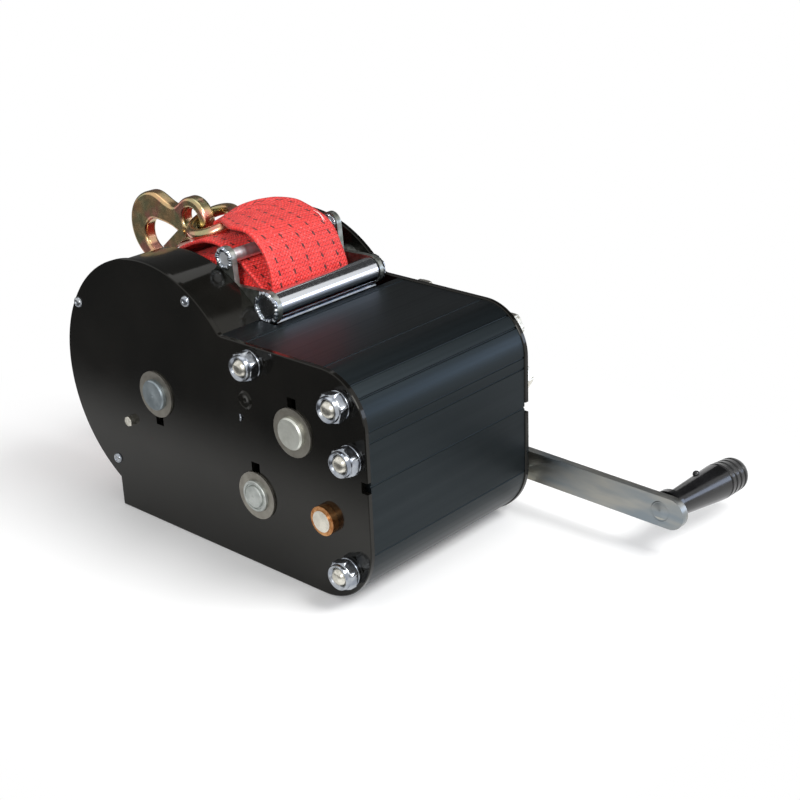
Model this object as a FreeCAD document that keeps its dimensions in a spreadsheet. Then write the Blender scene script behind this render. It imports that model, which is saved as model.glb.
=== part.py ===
# Hand-cranked strap winch: two black side plates hold a strap drum, a closed
# gear compartment, an extruded front housing and a strap guide of zinc-plated
# steel. A webbing strap with a forged snap hook lies over the drum, and a flat
# steel crank arm with a turning grip stands on the right side.
# Millimetres. X runs along the drum shaft to the crank side, -Y is the front,
# +Z is up, and the origin lies on the base, in the middle of its four holes.
import FreeCAD, Part
import math
import os

import Sketcher

doc = FreeCAD.newDocument("strap_winch")
Vector = FreeCAD.Vector
ALONG_X = FreeCAD.Rotation(Vector(0, 1, 0), 90)

SIZES = [
    ("body_width", 166.0, "outer face to outer face of the side plates"),
    ("plate_thick", 4.0, "side plates"),
    ("body_height", 165.8, "base to the flat top"),
    ("front_reach", 152.7, "origin to the front edge of the side plates"),
    ("rear_reach", 108.5, "origin to the rear corner of the side plates"),
    ("round_radius", 97.5, "round rear of the side plates"),
    ("round_y", 56.9, "centre of the round rear"),
    ("round_z", 105.8, "centre of the round rear"),
    ("top_corner", 36.0, "radius of the top front corner"),
    ("low_corner", 46.0, "radius of the bottom front corner"),
    ("neck_corner", 5.0, "radius where the flat top meets the round rear"),
    ("plate_bevel", 0.6, "bevel round the outer edge of a side plate"),
    ("notch_deep", 5.5, "notch in the front edge of a side plate"),
    ("notch_tall", 8.0, "notch in the front edge of a side plate"),
    ("notch_z", 91.5, "notch in the front edge of a side plate"),
    ("drum_y", 53.0, "drum shaft"),
    ("drum_z", 105.0, "drum shaft"),
    ("upper_y", -87.3, "upper gear shaft"),
    ("upper_z", 113.5, "upper gear shaft"),
    ("lower_y", -47.0, "lower gear shaft"),
    ("lower_z", 55.5, "lower gear shaft"),
    ("pinion_y", -114.1, "pinion shaft"),
    ("pinion_z", 58.8, "pinion shaft"),
    ("crank_y", -83.7, "crank shaft"),
    ("crank_z", 37.4, "crank shaft"),
    ("shaft_dia", 23.0, "drum shaft and gear shafts"),
    ("pinion_dia", 15.2, "pinion shaft"),
    ("crank_shaft_dia", 20.0, "crank shaft"),
    ("shaft_play", 0.05, "radial play of a shaft in its bush"),
    ("shaft_proud", 3.0, "end of a shaft beyond its bush"),
    ("bush_wall", 2.5, "wall of a flange bush"),
    ("flange_width", 3.3, "flange of a bush beyond its wall"),
    ("flange_thick", 1.5, "flange of a bush"),
    ("bronze_wall", 2.8, "wall of the bronze bush"),
    ("bronze_proud", 5.0, "bronze bush beyond the plate"),
    ("pinion_proud", 1.0, "pinion shaft beyond its bushes"),
    ("shaft_room", 4.0, "hole of the inner plate larger than its shaft"),
    ("keyway_wide", 8.0, "slot above a shaft bore"),
    ("keyway_tall", 7.0, "slot above a shaft bore, beyond the flange"),
    ("gearbox_wide", 41.5, "left outer face to the inner face of the gear compartment"),
    ("inner_thick", 3.0, "inner side plate"),
    ("cover_inset", 2.0, "cover band below the edge of the side plates"),
    ("cover_thick", 2.5, "cover band"),
    ("housing_wall", 5.0, "wall of the front housing"),
    ("housing_rear", -32.8, "rear edge of the front housing"),
    ("lip_radius", 3.5, "rounded rear lip of the front housing"),
    ("housing_inset", 0.8, "front housing below the edge of the side plates"),
    ("housing_lap", 8.0, "flat of the front housing behind its bottom corner"),
    ("groove_wide", 1.6, "lengthwise grooves of the front housing"),
    ("groove_high_z", 129.8, "upper groove of the front"),
    ("groove_pair_gap", 8.0, "second groove of the front below the upper one"),
    ("groove_middle_z", 91.8, "middle groove of the front"),
    ("groove_low_z", 42.1, "lowest groove of the front"),
    ("groove_top_y", -115.0, "front groove of the top"),
    ("groove_rear_y", -42.0, "rear groove of the top"),
    ("corner_groove_turn", 144.2, "lower groove of the top corner, degrees"),
    ("corner_groove_step", 16.9, "between the grooves of the top corner, degrees"),
    ("base_thick", 8.0, "base plate"),
    ("base_hole_dia", 13.0, "mounting holes, for 12 mm bolts"),
    ("base_hole_x", 110.0, "mounting holes, left to right"),
    ("base_hole_y", 150.0, "mounting holes, front to rear"),
    ("bolt_dia", 12.0, "tie bolts"),
    ("bolt_play", 0.3, "radial play of a tie bolt in its holes"),
    ("nut_flats", 19.0, "across the flats of nuts and bolt heads"),
    ("nut_high", 10.0, "lock nut"),
    ("head_high", 7.5, "head of a tie bolt"),
    ("washer_dia", 20.0, "washers"),
    ("washer_thick", 2.0, "washers"),
    ("bolt_proud", 1.5, "thread end beyond the lock nut"),
    ("bolt_top_y", -51.3, "tie bolt at the top"),
    ("bolt_top_inset", 12.4, "tie bolt at the top, below the flat top"),
    ("bolt_corner_inset_y", 20.9, "tie bolt at the top front corner, behind the front"),
    ("bolt_corner_inset_z", 20.8, "tie bolt at the top front corner, below the top"),
    ("bolt_front_inset", 13.2, "tie bolt at the front, behind the front"),
    ("bolt_front_inset_z", 56.5, "tie bolt at the front, below the top"),
    ("bolt_low_inset", 20.2, "tie bolt at the bottom front corner, behind the front"),
    ("bolt_low_z", 25.8, "tie bolt at the bottom front corner"),
    ("screw_rear_inset", 4.5, "rear cover screw inside the round edge"),
    ("screw_rear_turn", 33.7, "rear cover screw, degrees"),
    ("screw_top_inset", 6.7, "top cover screw inside the round edge"),
    ("screw_top_turn", 120.7, "top cover screw, degrees"),
    ("screw_low_inset", 12.6, "low cover screw inside the round edge"),
    ("screw_low_turn", -52.4, "low cover screw, degrees"),
    ("screw_head_dia", 8.0, "cover screws"),
    ("screw_head_high", 2.2, "cover screws"),
    ("dowel_dia", 6.0, "small bolt beside the drum shaft"),
    ("dowel_y", 86.3, "small bolt beside the drum shaft"),
    ("dowel_z", 75.7, "small bolt beside the drum shaft"),
    ("dowel_proud", 4.0, "small bolt beyond the plate"),
    ("core_dia", 60.0, "tube of the drum"),
    ("drum_gap", 5.0, "drum to the plates beside it"),
    ("strap_wide", 75.0, "strap"),
    ("strap_thick", 2.8, "strap"),
    ("strap_x", 13.5, "middle of the strap"),
    ("coil_dia", 178.0, "strap wound on the drum"),
    ("roller_y", -23.8, "guide roller"),
    ("roller_z", 173.9, "guide roller"),
    ("roller_dia", 18.6, "guide roller"),
    ("roller_pin_dia", 16.0, "pin of the guide roller"),
    ("rod_y", 16.0, "guide rod"),
    ("rod_z", 202.0, "guide rod"),
    ("rod_dia", 9.2, "guide rod"),
    ("bar_y", -26.6, "guide bar under the roller"),
    ("bar_z", 161.9, "guide bar under the roller"),
    ("bar_dia", 5.0, "guide bar under the roller"),
    ("bracket_thick", 4.5, "guide brackets"),
    ("low_ear_dia", 23.6, "left bracket, ear at the roller"),
    ("far_ear_dia", 20.6, "right bracket, ear at the roller"),
    ("high_ear_dia", 16.6, "bracket ear at the rod"),
    ("bracket_foot_y", 14.0, "foot of a guide bracket"),
    ("bracket_foot_z", 172.0, "foot of a guide bracket"),
    ("boss_dia", 20.0, "boss between the right bracket and its side plate"),
    ("boss_long", 12.5, "boss between the right bracket and its side plate"),
    ("side_play", 1.0, "roller to its brackets"),
    ("arm_gap", 14.5, "crank arm beyond the right side plate"),
    ("arm_thick", 6.0, "crank arm"),
    ("arm_wide", 23.0, "crank arm"),
    ("crank_radius", 171.0, "crank shaft to grip"),
    ("arm_beyond", 7.0, "centre of the arm's round end beyond the grip"),
    ("arm_droop", 1.0, "fall of the crank arm at rest, degrees"),
    ("hub_dia", 32.0, "hub of the crank"),
    ("hub_play", 1.0, "hub to the bush beside it"),
    ("crank_shaft_in", 30.0, "crank shaft inside the right side plate"),
    ("rivet_dia", 12.0, "pin of the grip"),
    ("grip_tilt", 5.0, "sag of the grip on its pin, degrees"),
    ("grip_long", 93.0, "grip"),
    ("grip_dia", 27.0, "grip at its thickest"),
    ("grip_end_dia", 25.0, "grip at its end"),
    ("grip_neck_dia", 18.4, "grip at its neck"),
    ("grip_collar_dia", 25.0, "collar of the grip at the arm"),
    ("collar_long", 6.0, "collar of the grip at the arm"),
    ("grip_play", 0.5, "grip to the arm"),
    ("grip_cap", 8.0, "closed end of the grip"),
    ("grip_round", 3.0, "rounding of the grip's end"),
    ("ring_pitch", 6.2, "ring grooves of the grip"),
    ("ring_deep", 1.4, "ring grooves of the grip"),
    ("ring_wide", 2.4, "ring grooves of the grip"),
    ("knob_dia", 5.4, "small knob on the grip"),
    ("knob_at", 46.0, "small knob from the arm"),
    ("knob_turn", 28.0, "small knob, degrees off upright"),
    ("hook_x", 0.0, "middle of the snap hook"),
    ("hook_thick", 11.0, "snap hook"),
    ("hook_round", 2.5, "rounded rim of the forging"),
    ("eye_y", 93.0, "eye of the snap hook"),
    ("eye_z", 207.5, "eye of the snap hook"),
    ("eye_dia", 33.6, "eye of the snap hook"),
    ("eye_hole_dia", 18.0, "hole of the eye"),
    ("bend_y", 136.5, "bend of the snap hook"),
    ("bend_z", 193.5, "bend of the snap hook"),
    ("bend_dia", 56.6, "bend of the snap hook"),
    ("throat_y", 134.5, "throat of the snap hook"),
    ("throat_z", 188.0, "throat of the snap hook"),
    ("throat_dia", 26.4, "throat of the snap hook"),
    ("tip_y", 122.3, "tip of the snap hook"),
    ("tip_z", 173.6, "tip of the snap hook"),
    ("tip_dia", 9.8, "tip of the snap hook"),
    ("latch_y", 100.5, "pivot of the latch"),
    ("latch_z", 197.5, "pivot of the latch"),
    ("latch_pin_dia", 4.0, "pivot of the latch"),
    ("latch_long", 29.0, "latch from its pivot to its end"),
    ("latch_wide", 8.0, "latch"),
    ("latch_turn", -39.4, "slope of the closed latch, degrees"),
    ("latch_sheet", 1.2, "sheet of the latch"),
    ("latch_web_start", 11.6, "pivot of the latch to its web"),
    ("latch_web_long", 7.0, "web of the latch"),
    ("latch_gap", 0.4, "latch cheek to the forging"),
    ("link_radius", 17.0, "ring, to the middle of its wire"),
    ("link_wire", 8.5, "wire of the ring"),
    ("link_play", 1.8, "ring to the rim of the eye"),
    ("link_roll", 20.0, "roll of the ring, degrees"),
    ("link_pitch", 7.0, "pitch of the ring, degrees"),
    ("loop_wide", 16.0, "strap where it is folded round the ring"),
    ("loop_hole_dia", 11.2, "strap loop round the ring"),
]

sheet = doc.addObject("Spreadsheet::Sheet", "Dim")
for row, (alias, value, note) in enumerate(SIZES, 1):
    sheet.set("A" + str(row), note)
    sheet.set("B" + str(row), repr(value))
    sheet.setAlias("B" + str(row), alias)
doc.recompute()


def size(alias):
    """One driving dimension as a number."""
    return float(sheet.get(alias))


def number(formula):
    """The value of a formula written with the sheet's names."""
    result = sheet.evalExpression(str(formula))
    return float(getattr(result, "Value", result))


def keep(piece, label):
    """Give a finished piece its name."""
    piece.Label = label
    FINISHED.append(piece)
    return piece


def place(piece, x=None, y=None, z=None):
    """Bind a piece's position to formulas."""
    for axis, formula in (("x", x), ("y", y), ("z", z)):
        if formula is not None:
            piece.setExpression(".Placement.Base." + axis, str(formula))
    return piece


def rod_x(name, dia, long, x, y, z):
    """A round bar along X that starts at x."""
    piece = doc.addObject("Part::Cylinder", name)
    piece.Placement = FreeCAD.Placement(Vector(), ALONG_X)
    piece.setExpression("Radius", "(" + dia + ") / 2")
    piece.setExpression("Height", long)
    return place(piece, x, y, z)


def hexagon_x(name, flats, long, x, y, z):
    """A hexagonal bar along X that starts at x."""
    piece = doc.addObject("Part::Prism", name)
    piece.Polygon = 6
    piece.Placement = FreeCAD.Placement(Vector(), ALONG_X)
    piece.setExpression("Circumradius", "(" + flats + ") / sqrt(3)")
    piece.setExpression("Height", long)
    return place(piece, x, y, z)


def block(name, wide, deep, high, x, y, z):
    """A box from its lowest corner."""
    piece = doc.addObject("Part::Box", name)
    piece.setExpression("Length", wide)
    piece.setExpression("Width", deep)
    piece.setExpression("Height", high)
    return place(piece, x, y, z)


def fuse(name, pieces):
    """Several solids as one."""
    joined = doc.addObject("Part::MultiFuse", name)
    joined.Shapes = pieces
    joined.Refine = True
    return joined


def cut(name, base, tools):
    """A solid less one tool or several."""
    tool = tools[0] if len(tools) == 1 else fuse(name + "_tools", tools)
    piece = doc.addObject("Part::Cut", name)
    piece.Base = base
    piece.Tool = tool
    return piece


def new_body(name):
    return doc.addObject("PartDesign::Body", name)


def new_sketch(body, name, plane):
    """A sketch on one of the body's own origin planes."""
    sketch = body.newObject("Sketcher::SketchObject", name)
    support = [part for part in body.Origin.OriginFeatures if part.Role == plane][0]
    sketch.AttachmentSupport = [(support, "")]
    sketch.MapMode = "FlatFace"
    return sketch


def hold(sketch, geometry, point, across, up):
    """Hold a sketch point at formulas for its two distances from the origin."""
    for kind, formula in (("DistanceX", across), ("DistanceY", up)):
        rule = Sketcher.Constraint(kind, -1, 1, geometry, point, number(formula))
        index = sketch.addConstraint(rule)
        sketch.setExpression("Constraints[" + str(index) + "]", str(formula))


def outline(sketch, corners):
    """A closed outline of straight sides through corners given as formulas."""
    first = sketch.GeometryCount
    count = len(corners)
    spots = [Vector(number(a), number(b), 0) for a, b in corners]
    for index in range(count):
        side = Part.LineSegment(spots[index], spots[(index + 1) % count])
        sketch.addGeometry(side)
    for index in range(count):
        following = first + (index + 1) % count
        rule = Sketcher.Constraint("Coincident", first + index, 2, following, 1)
        sketch.addConstraint(rule)
    for index, (across, up) in enumerate(corners):
        hold(sketch, first + index, 1, across, up)


def circle(sketch, dia, across, up):
    """A circle from formulas for its diameter and centre."""
    index = sketch.GeometryCount
    centre = Vector(number(across), number(up), 0)
    sketch.addGeometry(Part.Circle(centre, Vector(0, 0, 1), number(dia) / 2))
    rule = Sketcher.Constraint("Radius", index, number(dia) / 2)
    position = sketch.addConstraint(rule)
    sketch.setExpression("Constraints[" + str(position) + "]", "(" + dia + ") / 2")
    hold(sketch, index, 3, across, up)


def pad(body, name, sketch, long):
    feature = body.newObject("PartDesign::Pad", name)
    feature.Profile = sketch
    feature.setExpression("Length", long)
    doc.recompute()
    return feature


def pocket(body, name, sketch):
    """Cut a sketch right through the body, and make sure that it cut."""
    before = body.Shape.Volume
    feature = body.newObject("PartDesign::Pocket", name)
    feature.Profile = sketch
    feature.Type = "ThroughAll"
    feature.Reversed = True
    doc.recompute()
    if not body.Shape.Volume < before - 0.01:
        raise RuntimeError(name + " cut nothing")
    return feature


def round_edges(body, name, spots, radius):
    """Round the edges that run along X through the given (y, z) formulas."""
    base = body.Tip
    wanted = [(number(y), number(z)) for y, z in spots]
    chosen = []
    for index, edge in enumerate(base.Shape.Edges, 1):
        middle = edge.CenterOfMass
        straight = edge.BoundBox.XLength > 0.9 * edge.Length
        if straight and any(math.hypot(middle.y - y, middle.z - z) < 0.05 for y, z in wanted):
            chosen.append("Edge" + str(index))
    if len(chosen) != len(wanted):
        raise RuntimeError(name + " found " + str(len(chosen)) + " edges")
    feature = body.newObject("PartDesign::Fillet", name)
    feature.Base = (base, chosen)
    feature.setExpression("Radius", radius)
    doc.recompute()
    return feature


FINISHED = []
LEFT = "-Dim.body_width / 2"
BAY_LEFT = "(-Dim.body_width / 2 + Dim.gearbox_wide)"
BAY_RIGHT = "(Dim.body_width / 2 - Dim.plate_thick)"
INSIDE_WIDTH = "(Dim.body_width - 2 * Dim.plate_thick)"
FRONT = "-Dim.front_reach"
TOP = "Dim.body_height"
BOLTS = {
    "top": ("Dim.bolt_top_y", "(" + TOP + " - Dim.bolt_top_inset)"),
    "corner": ("(" + FRONT + " + Dim.bolt_corner_inset_y)", "(" + TOP + " - Dim.bolt_corner_inset_z)"),
    "front": ("(" + FRONT + " + Dim.bolt_front_inset)", "(" + TOP + " - Dim.bolt_front_inset_z)"),
    "low": ("(" + FRONT + " + Dim.bolt_low_inset)", "Dim.bolt_low_z"),
}


# Side plates. The outline is a block with rounded front corners that runs into
# a round rear, and each has a notch in its front edge.
def side_plate(name, inset, thick):
    body = new_body(name)
    low = "0" if inset == "0" else "Dim.base_thick"
    front = "-(Dim.front_reach - " + inset + ")"
    top = "Dim.body_height - " + inset
    rear = "Dim.rear_reach - " + inset
    block_sketch = new_sketch(body, name + "_block", "YZ_Plane")
    outline(block_sketch, [(front, low), (rear, low), (rear, "Dim.round_z"),
                           ("Dim.round_y", "Dim.round_z"), ("Dim.round_y", top), (front, top)])
    pad(body, name + "_front", block_sketch, thick)
    round_sketch = new_sketch(body, name + "_round", "YZ_Plane")
    circle(round_sketch, "2 * (Dim.round_radius - " + inset + ")", "Dim.round_y", "Dim.round_z")
    pad(body, name + "_rear", round_sketch, thick)
    radius = "(Dim.round_radius - " + inset + ")"
    rise = "(" + top + " - Dim.round_z)"
    neck = "Dim.round_y - sqrt(" + radius + " ^ 2 - " + rise + " ^ 2)"
    round_edges(body, name + "_top_corner", [(front, top)], "Dim.top_corner - " + inset)
    if inset == "0":
        round_edges(body, name + "_low_corner", [(front, low)], "Dim.low_corner")
    round_edges(body, name + "_neck", [(neck, top)], "Dim.neck_corner")
    bevel = body.newObject("PartDesign::Chamfer", name + "_bevel")
    base = body.getObject(name + "_neck")
    faces = [index for index, face in enumerate(base.Shape.Faces, 1)
             if face.BoundBox.XLength < 0.01]
    bevel.Base = (base, ["Face" + str(index) for index in faces])
    bevel.setExpression("Size", "Dim.plate_bevel")
    doc.recompute()
    return body


def keyway(sketch, shaft_y, shaft_z, side):
    """A slot beside a bore, above it for side 1 and below it for side -1."""
    middle = "Dim." + shaft_z
    near = middle + " + " + side + " * Dim.shaft_dia / 2"
    reach = "(Dim.shaft_dia / 2 + Dim.bush_wall + Dim.flange_width + Dim.keyway_tall)"
    far = middle + " + " + side + " * " + reach
    left = "Dim." + shaft_y + " - Dim.keyway_wide / 2"
    right = "Dim." + shaft_y + " + Dim.keyway_wide / 2"
    outline(sketch, [(left, near), (right, near), (right, far), (left, far)])


BUSH_HOLE = "(Dim.shaft_dia + 2 * Dim.bush_wall)"
BOLT_HOLE = "(Dim.bolt_dia + 2 * Dim.bolt_play)"
SHAFTS = (("drum", "drum_y", "drum_z"), ("upper", "upper_y", "upper_z"),
          ("lower", "lower_y", "lower_z"))


def drill(body, name):
    """The bores, bolt holes and front notch that both side plates share."""
    holes = new_sketch(body, name + "_holes", "YZ_Plane")
    for _, shaft_y, shaft_z in SHAFTS:
        circle(holes, BUSH_HOLE, "Dim." + shaft_y, "Dim." + shaft_z)
    for bolt_y, bolt_z in BOLTS.values():
        circle(holes, BOLT_HOLE, bolt_y, bolt_z)
    edge = FRONT
    inner = "-(Dim.front_reach - Dim.notch_deep)"
    low = "Dim.notch_z - Dim.notch_tall / 2"
    high = "Dim.notch_z + Dim.notch_tall / 2"
    outline(holes, [(edge + " - 1", low), (inner, low), (inner, high), (edge + " - 1", high)])
    pocket(body, name + "_drilling", holes)


left_plate = side_plate("left_plate", "0", "Dim.plate_thick")
drill(left_plate, "left_plate")
left_extras = new_sketch(left_plate, "left_plate_extras", "YZ_Plane")
circle(left_extras, "Dim.pinion_dia + 2 * Dim.bronze_wall", "Dim.pinion_y", "Dim.pinion_z")
circle(left_extras, "Dim.dowel_dia", "Dim.dowel_y", "Dim.dowel_z")
pocket(left_plate, "left_plate_extra_holes", left_extras)
slots = new_sketch(left_plate, "left_plate_keyways", "YZ_Plane")
keyway(slots, "upper_y", "upper_z", "1")
keyway(slots, "lower_y", "lower_z", "1")
keyway(slots, "drum_y", "drum_z", "-1")
pocket(left_plate, "left_plate_slots", slots)
place(left_plate, LEFT)
keep(left_plate, "left_side_plate")

right_plate = side_plate("right_plate", "0", "Dim.plate_thick")
drill(right_plate, "right_plate")
right_extras = new_sketch(right_plate, "right_plate_extras", "YZ_Plane")
circle(right_extras, "Dim.crank_shaft_dia + 2 * Dim.bush_wall", "Dim.crank_y", "Dim.crank_z")
pocket(right_plate, "right_plate_crank_hole", right_extras)
place(right_plate, "Dim.body_width / 2 - Dim.plate_thick")
keep(right_plate, "right_side_plate")

# The inner side plate closes the gear compartment towards the strap bay. It
# ends inside the front housing and stands on the base plate.
INNER_INSET = "(Dim.housing_inset + Dim.housing_wall)"
inner_plate = new_body("inner_plate")
inner_sketch = new_sketch(inner_plate, "inner_plate_block", "YZ_Plane")
inner_front = "-(Dim.front_reach - " + INNER_INSET + ")"
inner_top = "Dim.body_height - " + INNER_INSET
inner_rear = "Dim.rear_reach - Dim.cover_inset - Dim.cover_thick"
outline(inner_sketch, [(inner_front, "Dim.low_corner"),
                       ("-(Dim.front_reach - Dim.low_corner)", "Dim.base_thick"),
                       (inner_rear, "Dim.base_thick"), (inner_rear, "Dim.round_z"),
                       ("Dim.round_y", "Dim.round_z"), ("Dim.round_y", inner_top),
                       (inner_front, inner_top)])
pad(inner_plate, "inner_plate_front", inner_sketch, "Dim.inner_thick")
inner_round = new_sketch(inner_plate, "inner_plate_round", "YZ_Plane")
circle(inner_round, "2 * (Dim.round_radius - Dim.cover_inset - Dim.cover_thick)",
       "Dim.round_y", "Dim.round_z")
pad(inner_plate, "inner_plate_rear", inner_round, "Dim.inner_thick")
round_edges(inner_plate, "inner_plate_corner", [(inner_front, inner_top)],
            "Dim.top_corner - " + INNER_INSET)
inner_holes = new_sketch(inner_plate, "inner_plate_holes", "YZ_Plane")
for _, shaft_y, shaft_z in SHAFTS:
    circle(inner_holes, "Dim.shaft_dia + Dim.shaft_room", "Dim." + shaft_y, "Dim." + shaft_z)
circle(inner_holes, "Dim.pinion_dia + Dim.shaft_room", "Dim.pinion_y", "Dim.pinion_z")
for bolt_y, bolt_z in BOLTS.values():
    circle(inner_holes, BOLT_HOLE, bolt_y, bolt_z)
pocket(inner_plate, "inner_plate_drilling", inner_holes)
place(inner_plate, BAY_LEFT + " - Dim.inner_thick")
keep(inner_plate, "inner_side_plate")

# The gear cover is a bent band between the left and inner plates: round over
# the top and rear, then straight down to the base plate.
COVER_LONG = "Dim.gearbox_wide - Dim.plate_thick"
COVER_X = LEFT + " + Dim.plate_thick"
COVER_OUT = "(Dim.round_radius - Dim.cover_inset)"
COVER_IN = "(Dim.round_radius - Dim.cover_inset - Dim.cover_thick)"


def cover_form(name, radius, rear):
    """Disc and rear foot of the cover band, out to a radius and a rear edge."""
    disc = rod_x(name + "_disc", "2 * " + radius, COVER_LONG, COVER_X,
                 "Dim.round_y", "Dim.round_z")
    foot = block(name + "_foot", COVER_LONG, rear + " - Dim.round_y", "Dim.round_z - Dim.base_thick",
                 COVER_X, "Dim.round_y", "Dim.base_thick")
    return fuse(name, [disc, foot])


cover_outer = cover_form("cover_outer", COVER_OUT, "Dim.rear_reach - Dim.cover_inset")
cover_inner = cover_form("cover_inner", COVER_IN,
                         "Dim.rear_reach - Dim.cover_inset - Dim.cover_thick")
below_deck = block("below_deck", COVER_LONG, "Dim.round_y + Dim.front_reach",
                   "Dim.body_height - Dim.housing_inset", COVER_X, "-Dim.front_reach", "0")
below_base = block("below_base", COVER_LONG, "2 * Dim.round_radius", "Dim.base_thick",
                   COVER_X, "Dim.round_y", "0")
keep(cut("cover_cut", cover_outer, [cover_inner, below_deck, below_base]), "gear_cover_band")

# The front housing is one black aluminium extrusion that closes top, front
# and bottom front corner between the side plates, with lengthwise grooves. Over
# the gear compartment it reaches back to the cover band.
housing = new_body("housing")
housing_sketch = new_sketch(housing, "housing_section", "YZ_Plane")
H_FRONT = "-(Dim.front_reach - Dim.housing_inset)"
H_TOP = "(Dim.body_height - Dim.housing_inset)"
H_REAR_LOW = "-(Dim.front_reach - Dim.low_corner - Dim.housing_lap)"
H_IN_FRONT = "-(Dim.front_reach - Dim.housing_inset - Dim.housing_wall)"
H_IN_TOP = "(Dim.body_height - Dim.housing_inset - Dim.housing_wall)"
outline(housing_sketch, [(H_FRONT, "Dim.housing_inset"), (H_REAR_LOW, "Dim.housing_inset"),
                         (H_REAR_LOW, "Dim.housing_inset + Dim.housing_wall"),
                         (H_IN_FRONT, "Dim.housing_inset + Dim.housing_wall"),
                         (H_IN_FRONT, H_IN_TOP), ("Dim.housing_rear", H_IN_TOP),
                         ("Dim.housing_rear", H_TOP), (H_FRONT, H_TOP)])
pad(housing, "housing_extrusion", housing_sketch, INSIDE_WIDTH)
round_edges(housing, "housing_top_inside", [(H_IN_FRONT, H_IN_TOP)],
            "Dim.top_corner - Dim.housing_inset - Dim.housing_wall")
round_edges(housing, "housing_low_inside", [(H_IN_FRONT, "Dim.housing_inset + Dim.housing_wall")],
            "Dim.low_corner - Dim.housing_inset - Dim.housing_wall")
round_edges(housing, "housing_top_outside", [(H_FRONT, H_TOP)],
            "Dim.top_corner - Dim.housing_inset")
round_edges(housing, "housing_low_outside", [(H_FRONT, "Dim.housing_inset")],
            "Dim.low_corner - Dim.housing_inset")
round_edges(housing, "housing_lip", [("Dim.housing_rear", H_TOP)], "Dim.lip_radius")
tongue = new_sketch(housing, "housing_tongue_section", "YZ_Plane")
TONGUE_REAR = "(Dim.round_y - sqrt(" + COVER_IN + " ^ 2 - (" + H_TOP + " - Dim.round_z) ^ 2))"
outline(tongue, [("Dim.housing_rear - 1.5 * Dim.lip_radius", H_IN_TOP), (TONGUE_REAR, H_IN_TOP),
                 (TONGUE_REAR, H_TOP), ("Dim.housing_rear - 1.5 * Dim.lip_radius", H_TOP)])
pad(housing, "housing_tongue", tongue, "Dim.gearbox_wide - Dim.plate_thick - Dim.inner_thick")
grooves = new_sketch(housing, "housing_grooves", "YZ_Plane")
for groove_z in ("Dim.groove_high_z", "(Dim.groove_high_z - Dim.groove_pair_gap)",
                 "Dim.groove_middle_z", "Dim.groove_low_z"):
    circle(grooves, "Dim.groove_wide", H_FRONT, groove_z)
for groove_y in ("Dim.groove_top_y", "Dim.groove_rear_y"):
    circle(grooves, "Dim.groove_wide", groove_y, H_TOP)
for turn in ("Dim.corner_groove_turn", "(Dim.corner_groove_turn - Dim.corner_groove_step)"):
    reach = "(Dim.top_corner - Dim.housing_inset)"
    circle(grooves, "Dim.groove_wide",
           FRONT + " + Dim.top_corner + " + reach + " * cos(" + turn + ")",
           TOP + " - Dim.top_corner + " + reach + " * sin(" + turn + ")")
pocket(housing, "housing_grooving", grooves)
place(housing, LEFT + " + Dim.plate_thick")
keep(housing, "front_housing")

# The base plate ties the side plates at the bottom and has the four holes
# that bolt the winch down.
base = new_body("base")
base_sketch = new_sketch(base, "base_outline", "XY_Plane")
half = "(Dim.body_width / 2 - Dim.plate_thick)"
base_front = "-(Dim.front_reach - Dim.low_corner - Dim.housing_lap) + 0.2"
outline(base_sketch, [("-" + half, base_front), (half, base_front),
                      (half, "Dim.rear_reach"), ("-" + half, "Dim.rear_reach")])
pad(base, "base_slab", base_sketch, "Dim.base_thick")
base_holes = new_sketch(base, "base_holes", "XY_Plane")
for across in ("-Dim.base_hole_x / 2", "Dim.base_hole_x / 2"):
    for along in ("-Dim.base_hole_y / 2", "Dim.base_hole_y / 2"):
        circle(base_holes, "Dim.base_hole_dia", across, along)
pocket(base, "base_drilling", base_holes)
keep(base, "base_plate")

# Four tie bolts clamp the plates against the housing: a hexagon head on the
# crank side, a lock nut and the thread end on the left.
for bolt, (y, z) in BOLTS.items():
    nut_side = "-Dim.body_width / 2 - Dim.washer_thick - Dim.nut_high"
    shank = rod_x("bolt_shank_" + bolt, "Dim.bolt_dia",
                  "Dim.body_width + 2 * Dim.washer_thick + Dim.nut_high + Dim.bolt_proud",
                  nut_side + " - Dim.bolt_proud", y, z)
    head = hexagon_x("bolt_head_" + bolt, "Dim.nut_flats", "Dim.head_high",
                     "Dim.body_width / 2 + Dim.washer_thick", y, z)
    seat = rod_x("bolt_seat_" + bolt, "Dim.washer_dia", "Dim.washer_thick",
                 "Dim.body_width / 2", y, z)
    keep(fuse("bolt_" + bolt, [shank, head, seat]), "tie_bolt_" + bolt)
    nut = hexagon_x("nut_hex_" + bolt, "Dim.nut_flats", "Dim.nut_high", nut_side, y, z)
    washer = rod_x("nut_washer_" + bolt, "Dim.washer_dia", "Dim.washer_thick",
                   "-Dim.body_width / 2 - Dim.washer_thick", y, z)
    bore = rod_x("nut_bore_" + bolt, "Dim.bolt_dia", "Dim.nut_high + Dim.washer_thick",
                 nut_side, y, z)
    keep(cut("nut_" + bolt, fuse("nut_solid_" + bolt, [nut, washer]), [bore]),
         "lock_nut_" + bolt)


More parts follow.
